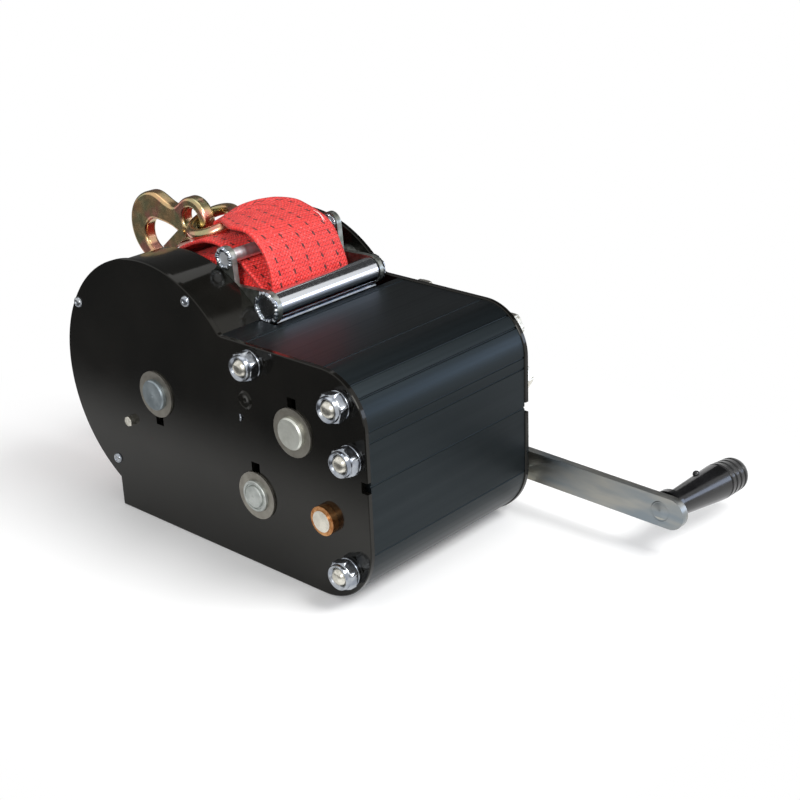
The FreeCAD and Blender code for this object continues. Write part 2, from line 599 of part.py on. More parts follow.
# Flange bushes carry the shafts in the side plates.
def bush(label, side, dia, y, z):
    """A bush with its flange on the outside of the left (-1) or right (1) plate."""
    outer = dia + " + 2 * Dim.bush_wall"
    long = "Dim.plate_thick"
    if side < 0:
        barrel_x = LEFT
        flange_x = LEFT + " - Dim.flange_thick"
    else:
        barrel_x = "Dim.body_width / 2 - Dim.plate_thick"
        flange_x = "Dim.body_width / 2"
    barrel = rod_x(label + "_barrel", outer, long, barrel_x, y, z)
    flange = rod_x(label + "_flange", outer + " + 2 * Dim.flange_width", "Dim.flange_thick",
                   flange_x, y, z)
    hole = rod_x(label + "_hole", dia + " + 2 * Dim.shaft_play",
                 "Dim.plate_thick + 2 * Dim.flange_thick",
                 barrel_x + " - Dim.flange_thick", y, z)
    return keep(cut(label + "_cut", fuse(label + "_solid", [barrel, flange]), [hole]), label)


for shaft, shaft_y, shaft_z in SHAFTS:
    bush(shaft + "_bush_left", -1, "Dim.shaft_dia", "Dim." + shaft_y, "Dim." + shaft_z)
    bush(shaft + "_bush_right", 1, "Dim.shaft_dia", "Dim." + shaft_y, "Dim." + shaft_z)
bush("crank_bush", 1, "Dim.crank_shaft_dia", "Dim.crank_y", "Dim.crank_z")

bronze_tube = rod_x("bronze_tube", "Dim.pinion_dia + 2 * Dim.bronze_wall",
                    "Dim.plate_thick + Dim.bronze_proud", LEFT + " - Dim.bronze_proud",
                    "Dim.pinion_y", "Dim.pinion_z")
bronze_hole = rod_x("bronze_hole", "Dim.pinion_dia + 2 * Dim.shaft_play",
                    "Dim.plate_thick + Dim.bronze_proud", LEFT + " - Dim.bronze_proud",
                    "Dim.pinion_y", "Dim.pinion_z")
keep(cut("bronze_cut", bronze_tube, [bronze_hole]), "bronze_bush")

# Shafts. The drum shaft and the two gear shafts run from plate to plate; the
# pinion shaft ends in the inner plate.
for shaft, shaft_y, shaft_z in SHAFTS:
    keep(rod_x(shaft + "_bar", "Dim.shaft_dia",
               "Dim.body_width + 2 * Dim.flange_thick + 2 * Dim.shaft_proud",
               LEFT + " - Dim.flange_thick - Dim.shaft_proud",
               "Dim." + shaft_y, "Dim." + shaft_z), shaft + "_shaft")
keep(rod_x("pinion_bar", "Dim.pinion_dia",
           "Dim.gearbox_wide + Dim.bronze_proud + 2 * Dim.pinion_proud",
           LEFT + " - Dim.bronze_proud - Dim.pinion_proud", "Dim.pinion_y", "Dim.pinion_z"),
     "pinion_shaft")

# Small screws that hold the cover band, and the small bolt by the drum shaft.
screws = []
for screw in ("rear", "top", "low"):
    reach = "(Dim.round_radius - Dim.screw_" + screw + "_inset)"
    turn = "(Dim.screw_" + screw + "_turn)"
    screws.append(rod_x("screw_head_" + screw, "Dim.screw_head_dia", "Dim.screw_head_high",
                        LEFT + " - Dim.screw_head_high",
                        "Dim.round_y + " + reach + " * cos" + turn,
                        "Dim.round_z + " + reach + " * sin" + turn))
keep(fuse("screws", screws), "cover_screws")
keep(rod_x("dowel", "Dim.dowel_dia", "Dim.plate_thick + Dim.dowel_proud",
           LEFT + " - Dim.dowel_proud", "Dim.dowel_y", "Dim.dowel_z"), "small_bolt")

# Drum: a tube on the drum shaft with the strap wound on it.
BAY_WIDE = "(Dim.body_width - Dim.plate_thick - Dim.gearbox_wide)"
drum_tube = rod_x("drum_tube", "Dim.core_dia", BAY_WIDE + " - 2 * Dim.drum_gap",
                  BAY_LEFT + " + Dim.drum_gap", "Dim.drum_y", "Dim.drum_z")
drum_bore = rod_x("drum_bore", "Dim.shaft_dia", BAY_WIDE, BAY_LEFT, "Dim.drum_y", "Dim.drum_z")
keep(cut("drum_cut", drum_tube, [drum_bore]), "drum_core")
coil_disc = rod_x("coil_disc", "Dim.coil_dia", "Dim.strap_wide",
                  "Dim.strap_x - Dim.strap_wide / 2", "Dim.drum_y", "Dim.drum_z")
coil_hole = rod_x("coil_hole", "Dim.core_dia", "Dim.strap_wide",
                  "Dim.strap_x - Dim.strap_wide / 2", "Dim.drum_y", "Dim.drum_z")
keep(cut("coil_cut", coil_disc, [coil_hole]), "wound_strap")


# Strap guide: two brackets on the sides of the strap bay carry a roller in
# front, a slim bar under it and a rod above the drum.
def bracket(label, x, low_ear, boss):
    """Ears round the roller pin and the rod, each joined to one foot, with its boss."""
    def pill(name, y1, z1, dia1, y2, z2, dia2):
        one = rod_x(name + "_a", dia1, "Dim.bracket_thick", x, y1, z1)
        two = rod_x(name + "_b", dia2, "Dim.bracket_thick", x, y2, z2)
        start = Vector(0, number(y1), number(z1))
        end = Vector(0, number(y2), number(z2))
        run = end - start
        flank = Vector(0, -run.z, run.y).normalize()
        half1 = number(dia1) / 2
        half2 = number(dia2) / 2
        corners = [start + flank * half1, end + flank * half2,
                   end - flank * half2, start - flank * half1]
        web = doc.addObject("Part::Feature", name + "_web")
        face = Part.Face(Part.makePolygon(corners + corners[:1]))
        web.Shape = face.extrude(Vector(size("bracket_thick"), 0, 0))
        web.Placement = FreeCAD.Placement(Vector(number(x), 0, 0), FreeCAD.Rotation())
        return [one, two, web]
    foot = ("Dim.bracket_foot_y", "Dim.bracket_foot_z")
    solids = pill(label + "_low", "Dim.roller_y", "Dim.roller_z", low_ear, *foot, low_ear)
    solids += pill(label + "_high", "Dim.rod_y", "Dim.rod_z", "Dim.high_ear_dia",
                   *foot, "Dim.high_ear_dia")
    if boss:
        solids.append(boss)
    holes = [rod_x(label + "_pin_hole", "Dim.roller_pin_dia", "Dim.bracket_thick", x,
                   "Dim.roller_y", "Dim.roller_z"),
             rod_x(label + "_rod_hole", "Dim.rod_dia", "Dim.bracket_thick", x,
                   "Dim.rod_y", "Dim.rod_z")]
    return keep(cut(label + "_cut", fuse(label + "_solid", solids), holes), label)


GUIDE_WIDE = "(Dim.body_width - Dim.plate_thick - Dim.gearbox_wide - Dim.boss_long)"
GUIDE_RIGHT = "(" + BAY_RIGHT + " - Dim.boss_long)"
bracket("guide_bracket_left", BAY_LEFT, "Dim.low_ear_dia", None)
boss = rod_x("bracket_boss", "Dim.boss_dia", "Dim.boss_long", GUIDE_RIGHT, "Dim.bracket_foot_y", "Dim.bracket_foot_z")
bracket("guide_bracket_right", GUIDE_RIGHT + " - Dim.bracket_thick", "Dim.far_ear_dia", boss)
ROLLER_LONG = "(" + GUIDE_WIDE + " - 2 * Dim.bracket_thick - 2 * Dim.side_play)"
ROLLER_X = BAY_LEFT + " + Dim.bracket_thick + Dim.side_play"
roller_tube = rod_x("roller_tube", "Dim.roller_dia", ROLLER_LONG, ROLLER_X,
                    "Dim.roller_y", "Dim.roller_z")
roller_bore = rod_x("roller_bore", "Dim.roller_pin_dia + 2 * Dim.shaft_play", ROLLER_LONG,
                    ROLLER_X, "Dim.roller_y", "Dim.roller_z")
keep(cut("roller_cut", roller_tube, [roller_bore]), "guide_roller")
keep(rod_x("roller_pin_bar", "Dim.roller_pin_dia", GUIDE_WIDE, BAY_LEFT,
           "Dim.roller_y", "Dim.roller_z"), "roller_pin")
keep(rod_x("guide_rod_bar", "Dim.rod_dia", GUIDE_WIDE, BAY_LEFT,
           "Dim.rod_y", "Dim.rod_z"), "guide_rod")
keep(rod_x("guide_bar_bar", "Dim.bar_dia", GUIDE_WIDE + " - 2 * Dim.bracket_thick",
           BAY_LEFT + " + Dim.bracket_thick", "Dim.bar_y", "Dim.bar_z"), "guide_bar")


# The free end of the strap leaves the drum behind the roller, stands up and
# arches back over the rod. It narrows on its way to the ring and is folded
# round the ring's wire.
def strap_band(route, thick, x_low, x_high):
    """A band along a smooth route in the YZ plane, extruded along X."""
    middle = Part.BSplineCurve()
    middle.interpolate([Vector(0, y, z) for y, z in route])
    inner = []
    outer = []
    for step in range(STEPS + 1):
        share = step / STEPS
        at = middle.FirstParameter + (middle.LastParameter - middle.FirstParameter) * share
        spot = middle.value(at)
        along = middle.tangent(at)[0]
        flank = Vector(0, -along.z, along.y).normalize() * (thick / 2)
        inner.append(spot + flank)
        outer.append(spot - flank)
    sides = []
    for line in (inner, outer):
        curve = Part.BSplineCurve()
        curve.interpolate(line)
        sides.append(curve.toShape())
    ends = [Part.makeLine(inner[0], outer[0]), Part.makeLine(inner[-1], outer[-1])]
    face = Part.Face(Part.Wire(Part.__sortEdges__(sides + ends)))
    band = face.extrude(Vector(x_high - x_low, 0, 0))
    band.translate(Vector(x_low, 0, 0))
    return band


STEPS = 18
ROUTE = ((-31.0, 141.0), (-25.6, 152.0), (-17.2, 164.4), (-12.0, 172.5), (-11.4, 179.5),
         (-10.0, 187.0), (-6.8, 195.0), (-2.4, 203.2), (3.2, 209.4), (8.5, 213.0),
         (15.0, 215.2), (23.0, 216.4), (32.0, 216.6), (42.0, 217.0), (52.0, 217.6))
strap_low = size("strap_x") - size("strap_wide") / 2
strap_high = size("strap_x") + size("strap_wide") / 2
band = strap_band(ROUTE, size("strap_thick"), strap_low, strap_high)
PLAN_TOP = 2 * size("body_height")
START_Y = ROUTE[0][0] - size("strap_thick")
TAPER_Y = ROUTE[-4][0] + size("strap_thick")
END_Y = ROUTE[-1][0] + size("strap_thick")
fold_low = size("hook_x") - size("loop_wide") / 2
fold_high = size("hook_x") + size("loop_wide") / 2
plan = Part.Face(Part.makePolygon([
    Vector(strap_low, START_Y, 0), Vector(strap_high, START_Y, 0),
    Vector(strap_high, TAPER_Y, 0), Vector(fold_high, END_Y, 0), Vector(fold_low, END_Y, 0),
    Vector(strap_low, TAPER_Y, 0), Vector(strap_low, START_Y, 0)]))

# The ring is one round link that joins the strap to the eye of the hook. It
# hangs in the eye, rolled and pitched by the pull of the strap.
LINK_TURN = FreeCAD.Rotation(Vector(1, 0, 0), -size("link_pitch")).multiply(
    FreeCAD.Rotation(Vector(0, 1, 0), -size("link_roll")))
ring = doc.addObject("Part::Torus", "ring_torus")
ring.setExpression("Radius1", "Dim.link_radius")
ring.setExpression("Radius2", "Dim.link_wire / 2")
ring.Placement = FreeCAD.Placement(Vector(), LINK_TURN)
RING_Y = "(Dim.eye_y - Dim.eye_hole_dia / 2 + Dim.link_wire / 2 + Dim.link_play - Dim.link_radius)"
RING_Z = "(Dim.eye_z + Dim.link_radius * sin(Dim.link_pitch) / 2)"
place(ring, "Dim.hook_x", RING_Y, RING_Z)
keep(ring, "strap_ring")

# The fold of the strap is a short sleeve round the front of the ring.
fold_spot = LINK_TURN.multVec(Vector(0, -size("link_radius"), 0))
fold_spot += Vector(size("hook_x"), number(RING_Y), number(RING_Z))
fold_axis = LINK_TURN.multVec(Vector(1, 0, 0))
fold_start = fold_spot - fold_axis * (size("loop_wide") / 2) + Vector(0, size("strap_thick") / 3, 0)
hole_radius = size("loop_hole_dia") / 2
sleeve = Part.makeCylinder(hole_radius + size("strap_thick"), size("loop_wide"),
                           fold_start, fold_axis)
sleeve_hole = Part.makeCylinder(hole_radius, 3 * size("loop_wide"),
                                fold_start - fold_axis * size("loop_wide"), fold_axis)
free_strap = doc.addObject("Part::Feature", "free_strap_band")
free_strap.Shape = band.common(plan.extrude(Vector(0, 0, PLAN_TOP))).fuse(sleeve).cut(sleeve_hole)
keep(free_strap, "free_strap")

# The snap hook is a forging: its outline runs round the bend, along the shank,
# round the eye and back through the throat to the tip, and its rims are round.
HOOK_THICK = size("hook_thick")
HOOK_X = size("hook_x") - HOOK_THICK / 2
EYE = Vector(HOOK_X, size("eye_y"), size("eye_z"))
BEND = Vector(HOOK_X, size("bend_y"), size("bend_z"))
THROAT = Vector(HOOK_X, size("throat_y"), size("throat_z"))
TIP = Vector(HOOK_X, size("tip_y"), size("tip_z"))


def arc_spots(centre, dia, turns):
    """Points on a circle in the plane of the hook's left face."""
    spots = []
    for turn in turns:
        angle = math.radians(turn)
        spots.append(centre + Vector(0, math.cos(angle), math.sin(angle)) * (dia / 2))
    return spots


BEND_TURNS = (-110, -94, -76, -54, -30, -6, 18, 42, 66, 92)
EYE_TURNS = (46, 72, 98, 126, 154, 182, 210, 238, 264)
THROAT_TURNS = (104, 72, 40, 8, -24, -56, -84, -108)
TIP_TURNS = (84, 132, 180, 228)
SHANK_TOP = (0.54, 0.23)
SHANK_LOW = ((0.36, -0.40), (0.68, -0.27))
shank_top = [EYE + Vector(0, SHANK_TOP[0], SHANK_TOP[1]) * size("eye_dia")]
shank_low = [EYE + Vector(0, across, up) * size("eye_dia") for across, up in SHANK_LOW]
tip = arc_spots(TIP, size("tip_dia"), TIP_TURNS)
spots = arc_spots(BEND, size("bend_dia"), BEND_TURNS) + shank_top
spots += arc_spots(EYE, size("eye_dia"), EYE_TURNS) + shank_low
spots += arc_spots(THROAT, size("throat_dia"), THROAT_TURNS) + tip
rim = Part.BSplineCurve()
rim.interpolate(spots, PeriodicFlag=True)
forging = Part.Face(Part.Wire([rim.toShape()])).extrude(Vector(HOOK_THICK, 0, 0))
PIVOT = Vector(HOOK_X, size("latch_y"), size("latch_z"))
for dia, centre in ((size("eye_hole_dia"), EYE), (size("latch_pin_dia"), PIVOT)):
    forging = forging.cut(Part.makeCylinder(dia / 2, HOOK_THICK, centre, Vector(1, 0, 0)))
rims = [edge for edge in forging.Edges
        if edge.BoundBox.XLength < 0.01 and edge.Length > 4 * math.pi * size("latch_pin_dia") / 2]
forging = forging.makeFillet(size("hook_round"), rims)
hook_body = doc.addObject("Part::Feature", "hook_forging")
hook_body.Shape = forging
keep(hook_body, "snap_hook")
keep(rod_x("latch_pin_bar", "Dim.latch_pin_dia",
           "Dim.hook_thick + 4 * Dim.latch_sheet", "Dim.hook_x - Dim.hook_thick / 2 - 2 * Dim.latch_sheet",
           "Dim.latch_y", "Dim.latch_z"), "latch_pin")


# The latch is bent from sheet: a cheek on each side of the hook and a web
# across the mouth, hung on the latch pin.
def cheek(x):
    """A strip with a round end at the pin, in a plane across X."""
    boss = Part.makeCylinder(half_wide, size("latch_sheet"), Vector(x, 0, 0), Vector(1, 0, 0))
    strip = Part.makeBox(size("latch_sheet"), size("latch_long"), size("latch_wide"),
                         Vector(x, 0, -half_wide))
    return boss.fuse(strip)


half_wide = size("latch_wide") / 2
outer_x = HOOK_THICK / 2 + size("latch_gap")
web_start = size("latch_web_start")
web_long = size("latch_web_long")
web = Part.makeBox(2 * outer_x, web_long, size("latch_sheet"),
                   Vector(-outer_x, web_start, -half_wide))
pieces = cheek(-outer_x - size("latch_sheet")).fuse(web).fuse(cheek(outer_x))
latch_bore = Part.makeCylinder(size("latch_pin_dia") / 2 + size("shaft_play"), 4 * outer_x,
                               Vector(-2 * outer_x, 0, 0), Vector(1, 0, 0))
latch = doc.addObject("Part::Feature", "latch_sheet")
latch.Shape = pieces.cut(latch_bore)
latch.Placement = FreeCAD.Placement(
    Vector(), FreeCAD.Rotation(Vector(1, 0, 0), size("latch_turn")))
place(latch, "Dim.hook_x", "Dim.latch_y", "Dim.latch_z")
keep(latch, "hook_latch")

# Crank: hub and shaft, flat arm, pin and a turning grip.
ARM_X = "(Dim.body_width / 2 + Dim.arm_gap)"
hub = rod_x("crank_hub", "Dim.hub_dia", "Dim.arm_gap - Dim.flange_thick - Dim.hub_play",
            "Dim.body_width / 2 + Dim.flange_thick + Dim.hub_play",
            "Dim.crank_y", "Dim.crank_z")
crank_bar = rod_x("crank_bar", "Dim.crank_shaft_dia", "Dim.crank_shaft_in + Dim.arm_gap",
                  "Dim.body_width / 2 - Dim.crank_shaft_in", "Dim.crank_y", "Dim.crank_z")
keep(fuse("crank_shaft_fused", [hub, crank_bar]), "crank_shaft")

GRIP_Y = "(Dim.crank_y - Dim.crank_radius * cos(Dim.arm_droop))"
GRIP_Z = "(Dim.crank_z - Dim.crank_radius * sin(Dim.arm_droop))"
arm_near = rod_x("arm_near", "Dim.arm_wide", "Dim.arm_thick", ARM_X, "Dim.crank_y", "Dim.crank_z")
ARM_LONG = "(Dim.crank_radius + Dim.arm_beyond)"
arm_far = rod_x("arm_far", "Dim.arm_wide", "Dim.arm_thick", ARM_X,
                "Dim.crank_y - " + ARM_LONG + " * cos(Dim.arm_droop)",
                "Dim.crank_z - " + ARM_LONG + " * sin(Dim.arm_droop)")
arm_bar = doc.addObject("Part::Box", "arm_bar")
arm_bar.setExpression("Length", "Dim.arm_thick")
arm_bar.setExpression("Width", ARM_LONG)
arm_bar.setExpression("Height", "Dim.arm_wide")
arm_turn = FreeCAD.Rotation(Vector(1, 0, 0), size("arm_droop"))
arm_corner = Vector(0, -number(ARM_LONG), -size("arm_wide") / 2)
arm_bar.Placement = FreeCAD.Placement(
    Vector(number(ARM_X), size("crank_y"), size("crank_z")) + arm_turn.multVec(arm_corner), arm_turn)

# The grip sits loosely on its pin and sags a little.
GRIP_TURN = FreeCAD.Rotation(Vector(0, 1, 0), 90 + size("grip_tilt"))


def grip_rod(name, long):
    """A bar on the tilted axis of the grip, from the outside of the arm."""
    piece = rod_x(name, "Dim.rivet_dia", long, ARM_X, GRIP_Y, GRIP_Z)
    piece.Placement = FreeCAD.Placement(piece.Placement.Base, GRIP_TURN)
    return place(piece, ARM_X, GRIP_Y, GRIP_Z)


rivet_hole = grip_rod("rivet_hole", "2 * Dim.arm_thick")
arm_solid = fuse("arm_solid", [arm_near, arm_far, arm_bar])
keep(cut("arm_cut", arm_solid, [rivet_hole]), "crank_arm")
keep(grip_rod("rivet_bar", "Dim.arm_thick + Dim.grip_long - Dim.grip_cap - Dim.grip_play"),
     "grip_pin")

grip = new_body("grip")
grip_sketch = new_sketch(grip, "grip_profile", "XZ_Plane")
G_LEAN = "Dim.grip_collar_dia / 2 * tan(Dim.grip_tilt * 1deg)"
G_START = "(Dim.arm_thick + " + G_LEAN + " + Dim.grip_play)"
G_END = "(Dim.arm_thick + Dim.grip_long)"
G_BORE = "(Dim.rivet_dia / 2 + Dim.shaft_play)"
G_RINGS = 4
profile = [(G_START, G_BORE), (G_START, "Dim.grip_collar_dia / 2"),
           (G_START + " + Dim.collar_long", "Dim.grip_collar_dia / 2"),
           (G_START + " + 1.5 * Dim.collar_long", "Dim.grip_neck_dia / 2")]
for ring_index in range(G_RINGS):
    middle = G_END + " - " + str(G_RINGS - ring_index) + " * Dim.ring_pitch"
    wide = "Dim.grip_dia / 2 - (Dim.grip_dia - Dim.grip_end_dia) / 2 * " + str(ring_index) + " / 4"
    profile += [(middle + " - Dim.ring_wide / 2", wide),
                (middle + " - Dim.ring_wide / 6", wide + " - Dim.ring_deep"),
                (middle + " + Dim.ring_wide / 6", wide + " - Dim.ring_deep"),
                (middle + " + Dim.ring_wide / 2", wide)]
profile += [(G_END + " - Dim.grip_round", "Dim.grip_end_dia / 2"),
            (G_END + " - Dim.grip_round / 4", "Dim.grip_end_dia / 2 - Dim.grip_round / 3"),
            (G_END, "Dim.grip_end_dia / 2 - Dim.grip_round"), (G_END, "0"),
            (G_END + " - Dim.grip_cap", "0"), (G_END + " - Dim.grip_cap", G_BORE)]
outline(grip_sketch, profile)
turned = grip.newObject("PartDesign::Revolution", "grip_turned")
turned.Profile = grip_sketch
turned.ReferenceAxis = (grip_sketch, ["H_Axis"])
turned.Angle = 360
doc.recompute()
grip.Placement = FreeCAD.Placement(
    Vector(), FreeCAD.Rotation(Vector(0, 1, 0), size("grip_tilt")))
place(grip, ARM_X, GRIP_Y, GRIP_Z)
knob = doc.addObject("Part::Sphere", "grip_knob")
knob.setExpression("Radius", "Dim.knob_dia / 2")
knob_out = size("grip_neck_dia") / 2 + size("knob_dia") / 2
knob_turn = FreeCAD.Rotation(Vector(0, 1, 0), size("grip_tilt"))
knob_spot = Vector(number(G_START) + size("knob_at"),
                   knob_out * math.sin(math.radians(size("knob_turn"))),
                   knob_out * math.cos(math.radians(size("knob_turn"))))
knob.Placement = FreeCAD.Placement(
    Vector(number(ARM_X), number(GRIP_Y), number(GRIP_Z)) + knob_turn.multVec(knob_spot),
    FreeCAD.Rotation())
keep(fuse("grip_with_knob", [grip, knob]), "handle_grip")

doc.recompute()
faulty = [item.Name for item in doc.Objects if "Invalid" in item.State or "Error" in item.State]
if faulty:
    raise RuntimeError("failed objects: " + ", ".join(faulty))
for piece in FINISHED:
    if piece.Shape.isNull() or not piece.Shape.isValid():
        raise RuntimeError(piece.Label + " has no valid shape")
os.makedirs("parts", exist_ok=True)
for piece in FINISHED:
    piece.Shape.exportStep("parts/" + piece.Label + ".step")
    print(piece.Label, len(piece.Shape.Solids), round(piece.Shape.Volume))
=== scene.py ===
import math

import bmesh
import bpy
import numpy as np
from mathutils import Matrix, Vector


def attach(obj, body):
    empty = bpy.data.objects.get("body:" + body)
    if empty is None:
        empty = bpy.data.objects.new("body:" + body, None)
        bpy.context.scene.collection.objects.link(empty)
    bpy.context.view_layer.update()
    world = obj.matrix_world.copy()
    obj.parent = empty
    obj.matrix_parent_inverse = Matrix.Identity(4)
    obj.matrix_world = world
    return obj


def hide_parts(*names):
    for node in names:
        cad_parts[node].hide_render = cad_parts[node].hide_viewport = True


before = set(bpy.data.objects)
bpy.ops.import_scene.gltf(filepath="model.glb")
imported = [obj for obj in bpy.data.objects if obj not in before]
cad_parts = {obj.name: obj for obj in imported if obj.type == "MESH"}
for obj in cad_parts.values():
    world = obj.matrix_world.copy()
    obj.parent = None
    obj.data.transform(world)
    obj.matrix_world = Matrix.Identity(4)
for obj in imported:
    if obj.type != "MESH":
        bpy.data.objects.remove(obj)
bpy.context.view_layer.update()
MM = 0.001

# The camera stands in front of the winch on its left, a little above it, and
# looks along the line that the fit of the lock nuts and the strap gave.
CAMERA_AIM = Vector((0, -0.12365, 0.11745))
CAMERA_REACH = 1.0329
azimuth, elevation, roll = (math.radians(turn) for turn in (-47.57, 23.22, -2.17))
back = Vector((math.sin(azimuth) * math.cos(elevation),
               -math.cos(azimuth) * math.cos(elevation), math.sin(elevation)))
level = Vector((math.cos(azimuth), math.sin(azimuth), 0))
upward = back.cross(level)
camera = bpy.data.objects.new("camera", bpy.data.cameras.new("camera"))
bpy.context.scene.collection.objects.link(camera)
stand = Matrix((math.cos(roll) * level + math.sin(roll) * upward,
                math.cos(roll) * upward - math.sin(roll) * level, back)).transposed().to_4x4()
stand.translation = CAMERA_AIM + back * CAMERA_REACH
camera.matrix_world = stand
camera.data.sensor_width = 36
camera.data.lens = 68.886
camera.data.shift_x = -0.02373
bpy.context.scene.camera = camera
bpy.context.scene.view_settings.view_transform = "Standard"


# The studio is a white floor under soft boxes. Dark flags beside the winch,
# seen only in its polish, give the zinc its dark bands as in a product shot.
def linear(code, alpha=1.0):
    """sRGB hex to linear: a channel over 12.92 near black, else its 2.4th power curve."""
    channels = (int(code[at:at + 2], 16) / 255 for at in (0, 2, 4))
    return tuple(c / 12.92 if c < 0.04045 else ((c + 0.055) / 1.055) ** 2.4
                 for c in channels) + (alpha,)


def node(tree, kind, inputs=None, **settings):
    """Add one shader node with its settings; an input is a number or another node's output."""
    made = tree.nodes.new("ShaderNode" + kind)
    for key, value in settings.items():
        setattr(made, key, value)
    for key, value in (inputs or {}).items():
        if isinstance(value, bpy.types.NodeSocket):
            tree.links.new(value, made.inputs[key])
        else:
            made.inputs[key].default_value = value
    return made


def mesh_piece(name, points, faces, smooth=True):
    """A mesh object from an array of points in metres and an array of faces."""
    mesh = bpy.data.meshes.new(name)
    mesh.from_pydata(np.asarray(points).tolist(), [], np.asarray(faces).tolist())
    mesh.update()
    if smooth:
        mesh.shade_smooth()
    else:
        mesh.shade_flat()
    piece = bpy.data.objects.new(name, mesh)
    bpy.context.scene.collection.objects.link(piece)
    return piece


def card(name, corner, side, rise):
    """A flat card from a corner and its two edges, in metres."""
    corner, side, rise = (np.array(v) for v in (corner, side, rise))
    points = [corner, corner + side, corner + side + rise, corner + rise]
    made = mesh_piece(name, points, [[0, 1, 2, 3]], smooth=False)
    return made


def bare_tree(owner):
    """The node tree of a new material or world, emptied."""
    owner.use_nodes = True
    owner.node_tree.nodes.clear()
    return owner.node_tree


def any_ray(tree, first, *others):
    """1 for a ray of one of these kinds, such as Is Camera Ray, and 0 for all others."""
    path = node(tree, "LightPath")
    seen = path.outputs[first]
    for kind in others:
        seen = node(tree, "Math", {0: seen, 1: path.outputs[kind]}, operation="MAXIMUM").outputs[0]
    return seen


def studio_world():
    """Plain white where it is seen, and a dimmer white where it lights."""
    world = bpy.data.worlds.new("studio")
    tree = bare_tree(world)
    seen = any_ray(tree, "Is Camera Ray", "Is Glossy Ray", "Is Transmission Ray")
    plain = node(tree, "Background", {"Color": (1, 1, 1, 1), "Strength": 0.6})
    white = node(tree, "Background", {"Color": (1, 1, 1, 1), "Strength": 1.0})
    mixed = node(tree, "MixShader", {0: seen, 1: plain.outputs[0], 2: white.outputs[0]})
    node(tree, "OutputWorld", {"Surface": mixed.outputs[0]})
    bpy.context.scene.world = world


# Half the winch's plan, and how far from it the paper starts to fade and has gone
HALF_PLAN = (0.10, 0.16, 0)
FADE_FROM, FADE_TO = 0.03, 0.24


def floor_paper():
    """White paper near the winch, with a little light of its own where it is seen.

    With the distance from the winch's plan it fades to plain white, which hides its edge.
    """
    material = bpy.data.materials.new("white_paper")
    tree = bare_tree(material)
    seen = any_ray(tree, "Is Camera Ray", "Is Glossy Ray")
    paper = node(tree, "BsdfDiffuse", {"Color": (0.86, 0.86, 0.86, 1)})
    glow = node(tree, "Emission", {"Color": (1, 1, 1, 1), "Strength": 0.12})
    near = node(tree, "AddShader", {0: paper.outputs[0], 1: glow.outputs[0]})
    white = node(tree, "Emission", {"Color": (1, 1, 1, 1), "Strength": 1.0})
    spot = node(tree, "TexCoord")
    either_way = node(tree, "VectorMath", {0: spot.outputs["Object"]}, operation="ABSOLUTE")
    beyond = node(tree, "VectorMath", {0: either_way.outputs[0], 1: HALF_PLAN},
                  operation="SUBTRACT")
    beyond = node(tree, "VectorMath", {0: beyond.outputs[0], 1: (0, 0, 0)}, operation="MAXIMUM")
    reach = node(tree, "VectorMath", {0: beyond.outputs[0]}, operation="LENGTH")
    far = node(tree, "MapRange", {"Value": reach.outputs["Value"], "From Min": FADE_FROM,
                                  "From Max": FADE_TO}, interpolation_type="SMOOTHSTEP")
    faded = node(tree, "MixShader", {0: far.outputs[0], 1: near.outputs[0], 2: white.outputs[0]})
    mixed = node(tree, "MixShader", {0: seen, 1: paper.outputs[0], 2: faded.outputs[0]})
    node(tree, "OutputMaterial", {"Surface": mixed.outputs[0]})
    return material


def flag_cloth(shade, fade=None):
    """Cloth of a studio flag in a shade of grey, which thins out between two places on X."""
    material = bpy.data.materials.new("flag_cloth")
    tree = bare_tree(material)
    cloth = node(tree, "Emission", {"Color": (shade, shade, shade, 1), "Strength": 1.0})
    if fade:
        spot = node(tree, "TexCoord")
        place = node(tree, "SeparateXYZ", {0: spot.outputs["Object"]})
        share = node(tree, "MapRange", {"Value": place.outputs[0], "From Min": fade[0],
                                        "From Max": fade[1]}, interpolation_type="SMOOTHSTEP")
        clear = node(tree, "BsdfTransparent")
        cloth = node(tree, "MixShader", {0: share.outputs[0], 1: cloth.outputs[0],
                                         2: clear.outputs[0]})
    node(tree, "OutputMaterial", {"Surface": cloth.outputs[0]})
    return material


studio_world()
floor = card("floor", (-6, -6, 0), (12, 0, 0), (0, 12, 0))
floor.data.materials.append(floor_paper())
# Name, corner, side, rise, shade of grey, and where on X it fades
FLAGS = (
    ("flag_right", (0.95, 0.50, 0.42), (0.12, -1.12, 0), (0.0, 0.0, 1.35), 0.06, None),
    ("flag_back", (-0.20, 0.85, 0.02), (1.25, -0.35, 0), (0, 0, 1.05), 0.12, None),
    ("flag_floor", (-1.90, -0.60, 0.002), (1.74, 0.0, 0), (0.0, 2.3, 0.0), 0.17, (-0.25, -0.15)),
)
for name, corner, side, rise, shade, fade in FLAGS:
    flag = card(name, corner, side, rise)
    flag.data.materials.append(flag_cloth(shade, fade))
    flag.visible_camera = False
    flag.visible_diffuse = False
    flag.visible_shadow = False
    flag.visible_transmission = False


WINCH_MIDDLE = Vector((0, -0.03, 0.1))


def soft_box(name, spot, wide, tall, power):
    """An area lamp that faces the middle of the winch."""
    lamp = bpy.data.lights.new(name, "AREA")
    lamp.shape = "RECTANGLE"
    lamp.size = wide
    lamp.size_y = tall
    lamp.energy = power
    box = bpy.data.objects.new(name, lamp)
    box.location = spot
    box.rotation_euler = (WINCH_MIDDLE - box.location).to_track_quat("-Z", "Y").to_euler()
    bpy.context.scene.collection.objects.link(box)
    return box


